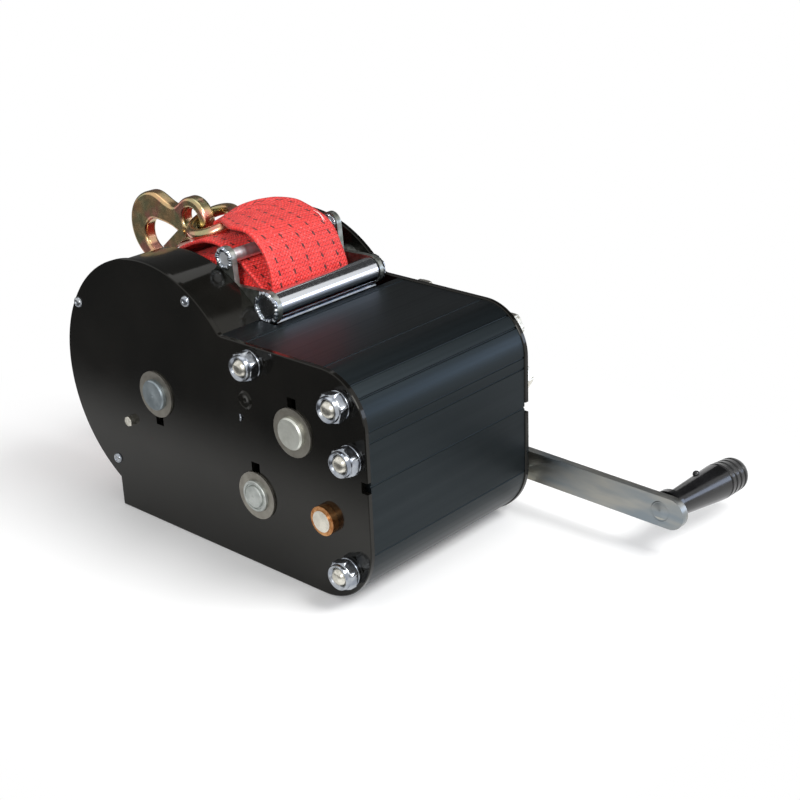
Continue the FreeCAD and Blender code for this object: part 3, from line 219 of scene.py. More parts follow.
soft_box("soft_box_key", (0.3, -1.25, 1.5), 0.8, 0.7, 26)
soft_box("soft_box_top", (0.25, 0.15, 1.7), 1.1, 0.9, 3.2)
soft_box("soft_box_fill", (-1.1, -0.95, 0.75), 0.6, 0.5, 4.5)
low_box = soft_box("soft_box_low", (1.1, -1.05, 0.33), 0.7, 0.35, 3)
low_box.data.color = linear("cfe0ff")[:3]
# A narrow spot lifts the strap and the hook
SNOOT_SPOT = Vector((-1.0, -0.75, 0.72))
SNOOT_AIM = Vector((-0.02, 0.015, 0.185))
snoot = bpy.data.objects.new("snoot", bpy.data.lights.new("snoot", "SPOT"))
snoot.data.energy = 90
snoot.data.spot_size = math.radians(6.5)
snoot.data.spot_blend = 1.0
snoot.data.shadow_soft_size = 0.05
snoot.location = SNOOT_SPOT
snoot.rotation_euler = (SNOOT_AIM - SNOOT_SPOT).to_track_quat("-Z", "Y").to_euler()
bpy.context.scene.collection.objects.link(snoot)


# Black gloss coat: the two side plates, the inner plate and the cover band are
# laser-cut steel sheet, powder coated gloss black, so they mirror what is near.
def finish(name, colour, rough, metal=0.0, **sockets):
    """A new material and its one Principled shader, with even values set on its own sockets."""
    material = bpy.data.materials.new(name)
    material.use_nodes = True
    tree = material.node_tree
    shader = tree.nodes["Principled BSDF"]
    shader.inputs["Base Color"].default_value = linear(colour)
    shader.inputs["Roughness"].default_value = rough
    shader.inputs["Metallic"].default_value = metal
    for key, value in sockets.items():
        shader.inputs[key.replace("_", " ")].default_value = value
    return material, tree, shader


def place_of(tree, stretch=(1, 1, 1), shift=(0, 0, 0)):
    """Object coordinates in metres, stretched and moved for a pattern."""
    spot = node(tree, "TexCoord")
    return node(tree, "Mapping", {0: spot.outputs["Object"], "Location": shift,
                                  "Scale": stretch}).outputs[0]


def clouds(tree, where, grain, dark, light, low=0.35, high=0.65):
    """Noise of a grain in millimetres that runs between two hex colours."""
    noise = node(tree, "TexNoise", {"Vector": where, "Scale": 1000 / grain, "Detail": 3})
    share = node(tree, "MapRange", {"Value": noise.outputs[0], "From Min": low,
                                    "From Max": high})
    return node(tree, "Mix", {0: share.outputs[0], 6: linear(dark), 7: linear(light)},
                data_type="RGBA").outputs[2]


def uneven(tree, where, grain, low, high):
    """Noise of a grain in millimetres as a number between low and high."""
    noise = node(tree, "TexNoise", {"Vector": where, "Scale": 1000 / grain, "Detail": 2})
    return node(tree, "MapRange", {"Value": noise.outputs[0], "From Min": 0.3,
                                   "From Max": 0.7, "To Min": low, "To Max": high}).outputs[0]


def relief(tree, shader, height, painted_weave_shade, strength=1.0):
    """Bump from a height of 0 to 1 that stands for so many millimetres."""
    bump = node(tree, "Bump", {"Strength": strength, "Distance": painted_weave_shade * MM, "Height": height})
    tree.links.new(bump.outputs[0], shader.inputs["Normal"])


def wear(piece, material):
    """Give a piece one material in place of those that it came with."""
    piece.data.materials.clear()
    piece.data.materials.append(material)


def gloss_powder_coat():
    """Wet black shine, with the faint ripple of baked powder and a few dull smears."""
    material, tree, shader = finish("gloss_powder_coat", "0b0a09", 0.1,
                                    Specular_IOR_Level=0.28,
                                    Specular_Tint=linear("fffdf4"))
    where = place_of(tree)
    tree.links.new(clouds(tree, where, 55, "060605", "0e0d0b"), shader.inputs["Base Color"])
    tree.links.new(uneven(tree, where, 40, 0.07, 0.16), shader.inputs["Roughness"])
    ripple = node(tree, "TexNoise", {"Vector": where, "Scale": 1000 / 2.2, "Detail": 1})
    relief(tree, shader, ripple.outputs[0], 0.02, 0.35)
    return material


powder_coat = gloss_powder_coat()
for plate in ("left_side_plate", "right_side_plate", "inner_side_plate", "gear_cover_band"):
    wear(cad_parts[plate], powder_coat)


# Front housing and base plate: aluminium, black anodised. The housing is one
# extrusion, so its skin has fine draw lines along X and a satin sheen.
def black_anodised():
    """Satin black metal whose fine draw lines along X streak the reflections."""
    material, tree, shader = finish("black_anodised_extrusion", "313537", 0.36, 1.0)
    lines = place_of(tree, stretch=(0.006, 1, 1))
    broad = place_of(tree, stretch=(0.02, 1, 1))
    tree.links.new(clouds(tree, broad, 9, "252b2e", "2c3235", 0.3, 0.7),
                   shader.inputs["Base Color"])
    tree.links.new(uneven(tree, lines, 2.5, 0.35, 0.42), shader.inputs["Roughness"])
    grain = node(tree, "TexNoise", {"Vector": lines, "Scale": 1000 / 0.9, "Detail": 3})
    relief(tree, shader, grain.outputs[0], 0.012, 0.22)
    return material


anodised = black_anodised()
for panel in ("front_housing", "base_plate"):
    wear(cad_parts[panel], anodised)


# Tie bolts and lock nuts: M12 steel, bright zinc plated. The nuts are nyloc
# nuts, a hexagon with a round collar, and stand on flat washers.
def span_of(name):
    """The lowest and the highest corner of a CAD piece in millimetres, to 0.1 mm."""
    corners = np.array(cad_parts[name].bound_box) / MM
    return np.round(corners.min(0), 1), np.round(corners.max(0), 1)


def axis_of(name):
    """The (y, z) in millimetres of the middle of a CAD piece that is turned about X."""
    corners = np.array(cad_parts[name].bound_box) / MM
    return tuple(np.round((corners.min(0) + corners.max(0)) / 2, 1)[1:])


FACE = span_of("right_side_plate")[1][0]


def on_left(profile):
    """A profile of heights over the left plate's outer face, its heights turned into x."""
    return [(-FACE - point[0],) + point[1:] for point in profile]


def on_right(profile):
    """A profile of heights over the right plate's outer face, its heights turned into x."""
    return [(FACE + point[0],) + point[1:] for point in profile]


STEPS = 72


def turned(outline, centre, turn=0.0):
    """A profile of (x, radius) in mm turned about a line along X.

    Point = (x, centre_y + r cos a, centre_z + r sin a), where r is the profile's radius.
    Where the profile gives half the width over the flats too, r is never more than that
    over the cosine of the angle from the nearest flat, so the turning has a hexagon.
    """
    along = np.array([p[0] for p in outline], float)
    radius = np.array([p[1] for p in outline], float)
    half = np.array([p[2] if len(p) > 2 else 1e6 for p in outline], float)
    spin = np.linspace(0, 2 * math.pi, STEPS, endpoint=False)
    off_flat = (spin + math.pi / 6) % (math.pi / 3) - math.pi / 6
    angle = spin + math.radians(turn)
    limit = half[:, None] / np.cos(off_flat)[None, :]
    reach = np.minimum(radius[:, None], limit)
    points = np.stack([np.repeat(along[:, None], STEPS, 1),
                       centre[0] + reach * np.cos(angle), centre[1] + reach * np.sin(angle)], -1)
    return points.reshape(-1, 3) * MM, grid_faces(len(outline), STEPS)


def grid_faces(rows, columns, closed=True):
    """Quads of a grid of rows and columns, whose columns may close into a loop."""
    row, column = np.meshgrid(np.arange(rows - 1), np.arange(columns if closed else columns - 1),
                              indexing="ij")
    following = (column + 1) % columns
    quads = np.stack([row * columns + column, (row + 1) * columns + column,
                      (row + 1) * columns + following, row * columns + following], -1)
    return quads.reshape(-1, 4)[:, ::-1]


def joined(*shells):
    """Several (points, faces) shells as one."""
    points, faces, count = [], [], 0
    for shell_points, shell_faces in shells:
        points.append(shell_points)
        faces.append(shell_faces + count)
        count += len(shell_points)
    return np.concatenate(points), np.concatenate(faces)


def closed_ends(shell, piece_name):
    """A shell as an object, its doubled points merged and its sharp edges kept crisp."""
    piece = mesh_piece(piece_name, *shell)
    mesh = bmesh.new()
    mesh.from_mesh(piece.data)
    bmesh.ops.remove_doubles(mesh, verts=mesh.verts, dist=1e-6)
    bmesh.ops.recalc_face_normals(mesh, faces=mesh.faces)
    mesh.to_mesh(piece.data)
    mesh.free()
    piece.data.set_sharp_from_angle(angle=math.radians(30))
    return piece


def bright_zinc():
    """Cold bright metal, a little cloudy, with the blue of clear passivation."""
    material, tree, shader = finish("bright_zinc_plate", "9da2aa", 0.18, 1.0)
    where = place_of(tree)
    tree.links.new(clouds(tree, where, 6, "8b919b", "b0b4b8"), shader.inputs["Base Color"])
    tree.links.new(uneven(tree, where, 4, 0.12, 0.26), shader.inputs["Roughness"])
    speck = node(tree, "TexNoise", {"Vector": where, "Scale": 1000 / 0.7, "Detail": 2})
    relief(tree, shader, speck.outputs[0], 0.006, 0.3)
    return material


def dulled_zinc():
    """Warm grey metal, matt enough that a rounded bolt end carries one soft light spot."""
    material, tree, shader = finish("zinc_on_rolled_thread", "d0cdc2", 0.27, 1.0)
    where = place_of(tree)
    tree.links.new(clouds(tree, where, 2.5, "bbb8ad", "e2dfd4"), shader.inputs["Base Color"])
    return material


zinc = bright_zinc()
rolled_zinc = dulled_zinc()
FLAT = 9.5
NYLOC = [(2.0, 6.1), (10.6, 6.1), (11.3, 6.9), (12.0, 7.5), (12.3, 8.0), (12.2, 8.5),
         (11.6, 8.9), (10.2, 9.0), (9.5, 9.1), (9.4, 9.3, FLAT), (8.9, 10.1, FLAT),
         (8.3, 11.2, FLAT), (3.0, 11.2, FLAT), (2.5, 10.4, FLAT), (2.0, 9.6, FLAT), (2.0, 6.1)]
WASHER = [(2.0, 6.2), (2.0, 9.7), (1.7, 10.0), (0.3, 10.0), (0.0, 9.7), (0.0, 6.2), (2.0, 6.2)]
BOLT_END = [(13.5, 0.0), (13.4, 2.2), (13.0, 3.8), (12.3, 4.8), (11.6, 5.3)]
QUARTER_PITCH = 1.75 / 4
THREAD = [(11.6 - QUARTER_PITCH * step, (6.0, 5.8, 5.2, 5.8)[step % 4]) for step in range(1, 23)]
SHANK = on_left(BOLT_END + THREAD + [(1.6, 6.0)]) + on_right([(3.0, 6.0), (3.0, 0.0)])
SEAT = [(0.0, 6.0), (0.0, 9.7), (0.3, 10.0), (1.7, 10.0), (2.0, 9.7), (2.0, 0.0)]
HEAD = [(2.0, 0.0), (2.0, 9.2, FLAT), (2.4, 9.6, FLAT), (2.4, 11.2, FLAT),
        (8.6, 11.2, FLAT), (9.2, 10.0, FLAT), (9.5, 8.6, FLAT), (9.5, 0.0)]
# Degrees that each nut has come to rest at
NUT_TURN = {"top": 12, "corner": 20, "front": 5, "low": 14}
for name, nut_turn in NUT_TURN.items():
    centre = axis_of("tie_bolt_" + name)
    nut = closed_ends(joined(turned(on_left(NYLOC), centre, turn=nut_turn),
                             turned(on_left(WASHER), centre)), "nyloc_nut_" + name)
    bolt = closed_ends(joined(turned(SHANK, centre), turned(on_right(SEAT), centre),
                              turned(on_right(HEAD), centre, turn=30)), "hexagon_bolt_" + name)
    for piece, stands_for, plate in ((nut, "lock_nut_" + name, zinc),
                                     (bolt, "tie_bolt_" + name, rolled_zinc)):
        wear(piece, plate)
        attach(piece, "frame")
        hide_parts(stands_for)


# Cover screws and the small bolt: three pan heads hold the cover band, and a
# small hexagon head stands by the drum shaft. All are zinc plated steel.
BAND_CENTRE = (56.9, 105.8)
# How far each screw stands from the band's centre, and its direction in degrees
SCREWS = {"rear": (93.0, 33.7), "top": (90.8, 120.7), "low": (84.9, -52.4)}
PAN_HEAD = [(1.5, 0.0), (1.5, 0.9), (2.1, 1.3), (2.2, 1.7), (2.0, 2.7), (1.4, 3.5),
            (0.6, 3.9), (0.0, 4.0), (0.0, 0.0)]
heads = [turned(on_left(PAN_HEAD),
                (BAND_CENTRE[0] + reach * math.cos(math.radians(where)),
                 BAND_CENTRE[1] + reach * math.sin(math.radians(where))))
         for reach, where in SCREWS.values()]
SMALL_FLAT = 3.6
SMALL_BOLT = [(4.0, 0.0), (4.0, 3.4), (3.6, 4.1, SMALL_FLAT), (3.2, 4.3, SMALL_FLAT),
              (0.0, 4.3, SMALL_FLAT), (0.0, 0.0)]
small_head = turned(on_left(SMALL_BOLT), axis_of("small_bolt"), turn=10)
for name, shell, look in (("cover_screws", joined(*heads), zinc),
                          ("small_bolt", small_head, rolled_zinc)):
    small = closed_ends(shell, "headed_" + name)
    wear(small, look)
    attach(small, "frame")
    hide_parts(name)


# A countersunk screw, coated with the plate, and the bent end of a spring wire
# just below it, both in the left plate near the top bolt.
SUNK = [(0.05, 0.0), (0.05, 1.4), (0.4, 2.0), (0.5, 4.9), (0.25, 5.3), (0.6, 5.9), (0.0, 6.6)]
SUNK_SPOT = (-42.0, 124.9)
sunk_screw = closed_ends(turned(on_left(SUNK), SUNK_SPOT), "countersunk_screw")
wear(sunk_screw, powder_coat)
WIRE_RADIUS, WIRE_TOP, WIRE_DROP = 0.7, (-35.8, 113.2), 5.2


def bent_wire():
    """A round wire that comes out of the left plate and goes back in below.

    Point = (-(face + 0.1 + 0.9 s) + r cos a, y - 1.4 s + r sin a, z - drop t), where
    s = sin(pi t) and t is the share of the way down.
    """
    down = np.linspace(0, 1, 15)
    bend = np.sin(math.pi * down)
    angle = np.linspace(0, 2 * math.pi, 12, endpoint=False)
    x = -(FACE + 0.1 + 0.9 * bend)[:, None] + WIRE_RADIUS * np.cos(angle)
    y = (WIRE_TOP[0] - 1.4 * bend)[:, None] + WIRE_RADIUS * np.sin(angle)
    z = (WIRE_TOP[1] - WIRE_DROP * down)[:, None] + 0 * angle
    return np.stack([x, y, z], -1).reshape(-1, 3) * MM, grid_faces(len(down), len(angle))


wire_end = closed_ends(bent_wire(), "spring_wire_end")
wear(wire_end, zinc)
for small, stuff in ((sunk_screw, "black_plate"), (wire_end, "zinc_fastener")):
    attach(small, "frame")


# Shafts and flange bushes: turned steel. Each shaft has a bevelled end with a
# centre-drilled dimple, and the pressed bush flanges are matt grey.
def turned_steel(name, centre, light, dark, rough):
    """Pale steel with fine rings round the shaft's centre from the lathe tool."""
    material, tree, shader = finish(name, light, rough, 1.0)
    where = place_of(tree)
    tree.links.new(clouds(tree, where, 7, dark, light), shader.inputs["Base Color"])
    middle = node(tree, "CombineXYZ", {0: 0.0, 1: centre[0] * MM, 2: centre[1] * MM})
    flat = node(tree, "VectorMath", {0: where, 1: (0, 1, 1)}, operation="MULTIPLY")
    reach = node(tree, "VectorMath", {0: flat.outputs[0], 1: middle.outputs[0]},
                 operation="DISTANCE")
    rings = node(tree, "Math", {0: reach.outputs["Value"], 1: 2 * math.pi / (0.9 * MM)},
                 operation="MULTIPLY")
    wave = node(tree, "Math", {0: rings.outputs[0]}, operation="SINE")
    relief(tree, shader, wave.outputs[0], 0.012, 0.5)
    return material


# All three ends are one turned steel, but each base colour is lighter or darker for how that end
# is lit: painted light on the upper end, painted shade on the drum end.
END_COLOURS_LIT_AND_SHADED = {"drum": ("9da7ac", "889297"), "upper": ("e2e4dc", "cfd1c8"),
               "lower": ("c8ccc8", "acb1ad")}
SHAFT_END = {
    "drum": [(3.7, 0.0), (4.3, 0.9), (4.5, 1.6), (4.5, 10.4), (3.6, 11.3), (2.0, 11.5)],
    "upper": [(4.5, 0.0), (4.5, 10.2), (3.4, 11.3), (2.0, 11.5)],
    "lower": [(3.7, 0.0), (4.5, 1.2), (4.5, 7.6), (3.9, 8.0), (2.9, 8.2),
              (2.9, 9.0), (3.6, 9.4), (3.6, 10.8), (3.1, 11.3), (2.0, 11.5)],
}
SHAFT_BODY = {"drum": "drum", "upper": "upper_gear", "lower": "lower_gear"}
for name, body in SHAFT_BODY.items():
    centre = axis_of(name + "_shaft")
    light, dark = END_COLOURS_LIT_AND_SHADED[name]
    steel = turned_steel("turned_shaft_" + name, centre, light, dark, 0.42)
    end = SHAFT_END[name]
    bar = closed_ends(turned(on_left(end) + on_right(end[::-1]), centre),
                      "shaft_with_ends_" + name)
    wear(bar, steel)
    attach(bar, body)
    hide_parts(name + "_shaft")
    flange = turned_steel("pressed_flange_" + name, centre, "9b988f", "8a867e", 0.45)
    for side in ("left", "right"):
        wear(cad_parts[name + "_bush_" + side], flange)
wear(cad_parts["pinion_shaft"],
     turned_steel("turned_shaft_pinion", axis_of("pinion_shaft"), "e0dccf", "c6c2b6", 0.25))
crank_steel = turned_steel("turned_shaft_crank", axis_of("crank_shaft"), "b4b4ae", "97978f", 0.3)
for steel_piece in ("crank_bush", "crank_shaft", "grip_pin"):
    wear(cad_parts[steel_piece], crank_steel)


# Bronze bush of the pinion shaft: sintered bronze, turned, so it is a warm
# orange brown that is matt and a little speckled.
def sintered_bronze():
    """Warm orange brown metal with the open grain of sintered powder."""
    material, tree, shader = finish("sintered_bronze", "c08a58", 0.34, 1.0)
    where = place_of(tree)
    tree.links.new(clouds(tree, where, 3, "a5683a", "cf9c6a"), shader.inputs["Base Color"])
    grain = node(tree, "TexNoise", {"Vector": where, "Scale": 1000 / 0.8, "Detail": 3})
    relief(tree, shader, grain.outputs[0], 0.02, 0.5)
    return material


wear(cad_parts["bronze_bush"], sintered_bronze())


# Strap guide: two brackets, a roller on its pin and a rod, all steel, welded,
# ground and bright zinc plated.
def plated_sheet():
    """Grey plate with a faint green cast, duller than the turned pieces."""
    material, tree, shader = finish("plated_laser_cut_sheet", "8b8f88", 0.34, 1.0)
    where = place_of(tree)
    tree.links.new(clouds(tree, where, 5, "767a73", "9a9d99"), shader.inputs["Base Color"])
    tree.links.new(uneven(tree, where, 3, 0.28, 0.42), shader.inputs["Roughness"])
    return material


def satin_rod():
    """Pale metal, satin from the strap that has rubbed it along its length."""
    material, tree, shader = finish("rubbed_zinc_rod", "d6d8dc", 0.42, 1.0)
    around = place_of(tree, stretch=(1, 0.05, 0.05))
    tree.links.new(uneven(tree, around, 2, 0.36, 0.5), shader.inputs["Roughness"])
    return material


def weld_bead(name, centre, ring, thick, seat, side):
    """A ring of weld on a face across X.

    Point = (seat + side 0.9 t cos v, centre + (R + t sin v) (cos a, sin a)), where the tube
    t = thick (1 + 0.14 sin 9a + 0.1 sin 23a) swells as a hand-laid bead does.
    """
    around = np.linspace(0, 2 * math.pi, 120, endpoint=False)[:, None]
    over = np.linspace(-0.6 * math.pi, 0.6 * math.pi, 11)[None, :]
    tube = thick * (1 + 0.14 * np.sin(9 * around + ring) + 0.1 * np.sin(23 * around))
    reach = ring + 0.3 * np.sin(5 * around + 1) + tube * np.sin(over)
    points = np.stack([seat + side * 0.9 * tube * np.cos(over), centre[0] + reach * np.cos(around),
                       centre[1] + reach * np.sin(around)], -1).reshape(-1, 3) * MM
    faces = grid_faces(len(around) + 1, over.size, closed=False) % len(points)
    bead = mesh_piece(name, points, faces if side < 0 else faces[:, ::-1])
    wear(bead, zinc)
    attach(bead, "frame")


dull_sheet = plated_sheet()
BRACKETS = ("guide_bracket_left", "guide_bracket_right")
for guide in BRACKETS:
    wear(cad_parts[guide], dull_sheet)
for guide in ("roller_pin", "guide_bar"):
    wear(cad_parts[guide], zinc)
wear(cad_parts["guide_rod"], satin_rod())
PIN, ROD = axis_of("roller_pin"), axis_of("guide_rod")
LEFT_SEAT, INSIDE_SEAT = (span_of(guide)[0][0] for guide in BRACKETS)
RIGHT_SEAT = span_of("guide_rod")[1][0]
weld_bead("weld_pin_left", PIN, 9.9, 1.9, LEFT_SEAT, -1)
weld_bead("weld_rod_left", ROD, 6.5, 1.7, LEFT_SEAT, -1)
weld_bead("weld_pin_right", PIN, 9.4, 1.4, RIGHT_SEAT, 1)
weld_bead("weld_rod_right", ROD, 6.0, 1.4, RIGHT_SEAT, 1)
weld_bead("weld_rod_inside", ROD, 5.6, 1.2, INSIDE_SEAT, -1)


def polished_tube():
    """Bright drawn tube: a near mirror that has fine lines round it from polishing."""
    material, tree, shader = finish("bright_drawn_tube", "d4d7dc", 0.12, 1.0)
    around = place_of(tree, stretch=(1, 0.02, 0.02))
    tree.links.new(uneven(tree, around, 1.0, 0.08, 0.17), shader.inputs["Roughness"])
    return material


wear(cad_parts["guide_roller"], polished_tube())


# Strap: red polyester webbing, 75 mm wide, woven with a black tracer yarn that
# shows as short dashes in five columns. The free end runs from the drum over
# the guide, is gathered and folded round the ring.
WEFT_PITCH, WARP_PITCH = 2.8, 3.4
COLUMN_PITCH, DASH_PITCH = 15.0, 8.5


def red_webbing():
    """Bright red cloth with weft ribs, warp cords, black tracer dashes, a soft sheen, painted
    shade in the grooves of its weave and painted pink highlight flecks.
    """
    material, tree, shader = finish("red_polyester_webbing", "d0302b", 0.55,
                                    Sheen_Weight=0.06, Sheen_Roughness=0.4,
                                    Sheen_Tint=linear("ffb0a8"))
    cloth = node(tree, "UVMap", uv_map="cloth")
    split = node(tree, "SeparateXYZ", {0: cloth.outputs[0]})
    across, along = split.outputs[0], split.outputs[1]
    noise = node(tree, "TexNoise", {"Vector": cloth.outputs[0], "Scale": 0.12, "Detail": 3})
    share = node(tree, "MapRange", {"Value": noise.outputs[0], "From Min": 0.3, "From Max": 0.7})
    red = node(tree, "Mix", {0: share.outputs[0], 6: linear("cb2422"), 7: linear("e53833")},
               data_type="RGBA")

    def wave(value, pitch):
        turns = node(tree, "Math", {0: value, 1: 2 * math.pi / pitch}, operation="MULTIPLY")
        return node(tree, "Math", {0: turns.outputs[0]}, operation="SINE").outputs[0]

    weft = wave(along, WEFT_PITCH)
    warp = wave(across, WARP_PITCH)
    weave = node(tree, "Math", {0: weft, 1: warp}, operation="MULTIPLY")
    height = node(tree, "Math", {0: weave.outputs[0], 1: 0.5, 2: 0.5}, operation="MULTIPLY_ADD")
    # Painted shade: the colour is darkened in the grooves between the weft ribs and between the
    # warp cords, and lifted a little on their crests.
    groove_shade = node(tree, "MapRange", {"Value": weft, "From Min": -1.0, "From Max": 0.2,
                                     "To Min": 0.68, "To Max": 1.05})
    basket_shade = node(tree, "MapRange", {"Value": weave.outputs[0], "From Min": -0.8, "From Max": 0.5,
                                     "To Min": 0.66, "To Max": 1.05})
    painted_weave_shade = node(tree, "Math", {0: groove_shade.outputs[0], 1: basket_shade.outputs[0]}, operation="MULTIPLY")
    # Painted highlight: pink flecks of sheen on the yarn, set into the base colour by noise.
    sheen_fleck_noise = node(tree, "TexNoise", {"Vector": cloth.outputs[0], "Scale": 0.55, "Detail": 2})
    painted_sheen_fleck = node(tree, "MapRange", {"Value": sheen_fleck_noise.outputs[0], "From Min": 0.55,
                                    "From Max": 0.72, "To Max": 0.5})
    red_with_painted_sheen = node(tree, "Mix", {0: painted_sheen_fleck.outputs[0], 6: red.outputs[2], 7: linear("ff7f80")},
                   data_type="RGBA")
    shaded = node(tree, "VectorMath", {0: red_with_painted_sheen.outputs[2], "Scale": painted_weave_shade.outputs[0]},
                  operation="SCALE")
    slant = node(tree, "Math", {0: across, 1: 0.16, 2: along}, operation="MULTIPLY_ADD")
    column = node(tree, "Math", {0: across, 1: COLUMN_PITCH, 2: 0.0}, operation="WRAP")
    row = node(tree, "Math", {0: slant.outputs[0], 1: DASH_PITCH, 2: 0.0}, operation="WRAP")
    from_column = node(tree, "Math", {0: column.outputs[0], 1: COLUMN_PITCH / 2},
                       operation="SUBTRACT")
    from_row = node(tree, "Math", {0: row.outputs[0], 1: DASH_PITCH / 2}, operation="SUBTRACT")
    lean = node(tree, "Math", {0: from_row.outputs[0], 1: 0.18, 2: from_column.outputs[0]},
                operation="MULTIPLY_ADD")
    wide = node(tree, "Math", {0: lean.outputs[0]}, operation="ABSOLUTE")
    tall = node(tree, "Math", {0: from_row.outputs[0]}, operation="ABSOLUTE")
    fuzz = node(tree, "TexNoise", {"Vector": cloth.outputs[0], "Scale": 0.9, "Detail": 1})
    narrow = node(tree, "Math", {0: fuzz.outputs[0], 1: 1.2, 2: wide.outputs[0]},
                  operation="MULTIPLY_ADD")
    in_width = node(tree, "MapRange", {"Value": narrow.outputs[0], "From Min": 1.25,
                                       "From Max": 1.75, "To Min": 1.0, "To Max": 0.0})
    short = node(tree, "Math", {0: fuzz.outputs[0], 1: 1.8, 2: tall.outputs[0]},
                 operation="MULTIPLY_ADD")
    in_length = node(tree, "MapRange", {"Value": short.outputs[0], "From Min": 2.3,
                                        "From Max": 3.1, "To Min": 1.0, "To Max": 0.0})
    dash = node(tree, "Math", {0: in_width.outputs[0], 1: in_length.outputs[0]},
                operation="MULTIPLY")
    faded_dash = node(tree, "Math", {0: dash.outputs[0], 1: 0.93}, operation="MULTIPLY")
    colour = node(tree, "Mix", {0: faded_dash.outputs[0], 6: shaded.outputs[0],
                                7: linear("1a0c0b")}, data_type="RGBA")
    tree.links.new(colour.outputs[2], shader.inputs["Base Color"])
    relief(tree, shader, height.outputs[0], 0.6, 1.0)
    return material


webbing = red_webbing()
DRUM = axis_of("drum_shaft")
STRAP_LOW, STRAP_HIGH = (corner[0] for corner in span_of("wound_strap"))
STRAP_WIDTH = STRAP_HIGH - STRAP_LOW


def smooth_line(spots, count):
    """Points evenly spaced along a smooth line through the spots, and their lengths along it.

    Each coordinate is a cubic in the length so far, with the slope at a spot taken from the
    spots before and after it.
    """
    spots = np.array(spots, float)
    knots = np.r_[0, np.cumsum(np.linalg.norm(np.diff(spots, axis=0), axis=1))]
    slope = np.gradient(spots, knots, axis=0)
    at = np.linspace(0, knots[-1], count)
    index = np.clip(np.searchsorted(knots, at, side="right") - 1, 0, len(knots) - 2)
    gap = (knots[index + 1] - knots[index])[:, None]
    share = ((at - knots[index])[:, None]) / gap
    return ((2 * share ** 3 - 3 * share ** 2 + 1) * spots[index]
            + (share ** 3 - 2 * share ** 2 + share) * gap * slope[index]
            + (3 * share ** 2 - 2 * share ** 3) * spots[index + 1]
            + (share ** 3 - share ** 2) * gap * slope[index + 1]), at


def cloth_uv(piece, across, along):
    """Keep the cloth's own flat coordinates in millimetres as its UV map."""
    layer = piece.data.uv_layers.new(name="cloth")
    loops = np.empty(len(piece.data.loops), int)
    piece.data.loops.foreach_get("vertex_index", loops)
    layer.data.foreach_set("uv", np.stack([across[loops], along[loops]], -1).ravel())


# Points across the strap, and the share across of each, from -1 to 1
ACROSS = 41
SHARES = np.linspace(-1, 1, ACROSS)[None, :]


def cloth_piece(name, grid, run, thickness):
    """Webbing of a thickness in millimetres about its middle surface.

    The surface is a grid of points, rows along the strap and columns across it, and run is
    each row's length along the strap in millimetres.
    """
    piece = mesh_piece(name, grid.reshape(-1, 3), grid_faces(len(run), ACROSS, closed=False))
    cloth_uv(piece, np.tile(np.linspace(0, STRAP_WIDTH, ACROSS), len(run)),
             np.repeat(run, ACROSS))
    wear(piece, webbing)
    solid = piece.modifiers.new("thickness", "SOLIDIFY")
    solid.thickness = thickness * MM
    solid.offset = 0
    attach(piece, "frame")
    return piece


# (y, z) of the strap's middle line, and its two edges as (length, x)
ROUTE = [(-31, 141), (-25.6, 152), (-17.2, 164.4), (-12, 172.5), (-11.4, 179.5), (-10, 187),
         (-7.4, 195), (-3.4, 203), (2.0, 209.5), (8, 213.4), (15, 215.8), (23, 217.4),
         (32, 218.8), (42, 219.8), (50, 220.2), (56, 219.4), (61.5, 216.4), (64.6, 211.0),
         (63, 205.5), (58, 202.6), (50, 203.6), (44, 203.4), (38, 201.2), (33, 197.6), (28, 195.4),
         (20, 193.6)]
LOW_EDGE = [(0, -24), (106, -24), (117, -17.5), (126, -12), (134, -8), (156, -8), (166, -14),
            (178, -19), (200, -24)]
HIGH_EDGE = [(0, 51), (114, 51), (122, 45), (128, 36), (133, 22), (138, 11), (141, 8), (156, 8),
             (166, 20), (178, 36), (200, 48)]
line, length = smooth_line(ROUTE, 220)
tangent = np.gradient(line, axis=0)
tangent /= np.linalg.norm(tangent, axis=1)[:, None]
inward = np.stack([tangent[:, 1], -tangent[:, 0]], -1)
BLUR = 9
low_edge, high_edge = (
    np.convolve(np.pad(np.interp(length, *zip(*edge)), BLUR // 2, mode="edge"),
                np.ones(BLUR) / BLUR, "valid") for edge in (LOW_EDGE, HIGH_EDGE))


def stretch_of(start, rise, end, fall):
    """1 on a stretch of the strap, with a straight rise from its start and fall to its end."""
    return np.clip((length - start) / rise, 0, 1) * np.clip((end - length) / fall, 0, 1)


def free_end_grid():
    """The middle surface of the strap's free end.

    Point = (low edge + width (c + 1) / 2, middle line - ripple x inward), where c is the
    share across. The ripple is the pleat 1.8 sin(2.4 pi c + 0.6) by how far the
    strap is gathered, less the twist 3 c, plus the droop 2.8 c - 2.6 towards the ring.
    """
    gathered = 1 - (high_edge - low_edge) / STRAP_WIDTH
    crease = gathered * stretch_of(104, 12, 138, 8)
    drooped = stretch_of(90, 36, 152, 14)
    twisted = stretch_of(40, 20, 150, 20) * (1 - drooped)
    ripple = (crease[:, None] * 1.8 * np.sin(2.4 * math.pi * SHARES + 0.6)
              - 3.0 * twisted[:, None] * SHARES
              + drooped[:, None] * (2.8 * SHARES - 2.6))
    x = low_edge[:, None] + (high_edge - low_edge)[:, None] * (SHARES + 1) / 2
    y = line[:, 0, None] - inward[:, 0, None] * ripple
    z = line[:, 1, None] - inward[:, 1, None] * ripple
    return np.stack([x, y, z], -1) * MM


strap_grid = free_end_grid()
free_strap = cloth_piece("strap_free_end", strap_grid, length, 2.6)
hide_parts("free_strap")


# Stray yarns: white ends of edge yarn that have worn loose at the far side of
# the strap. They are about 0.5 mm thick and lie on the cloth.
YARN_RADIUS = 0.27


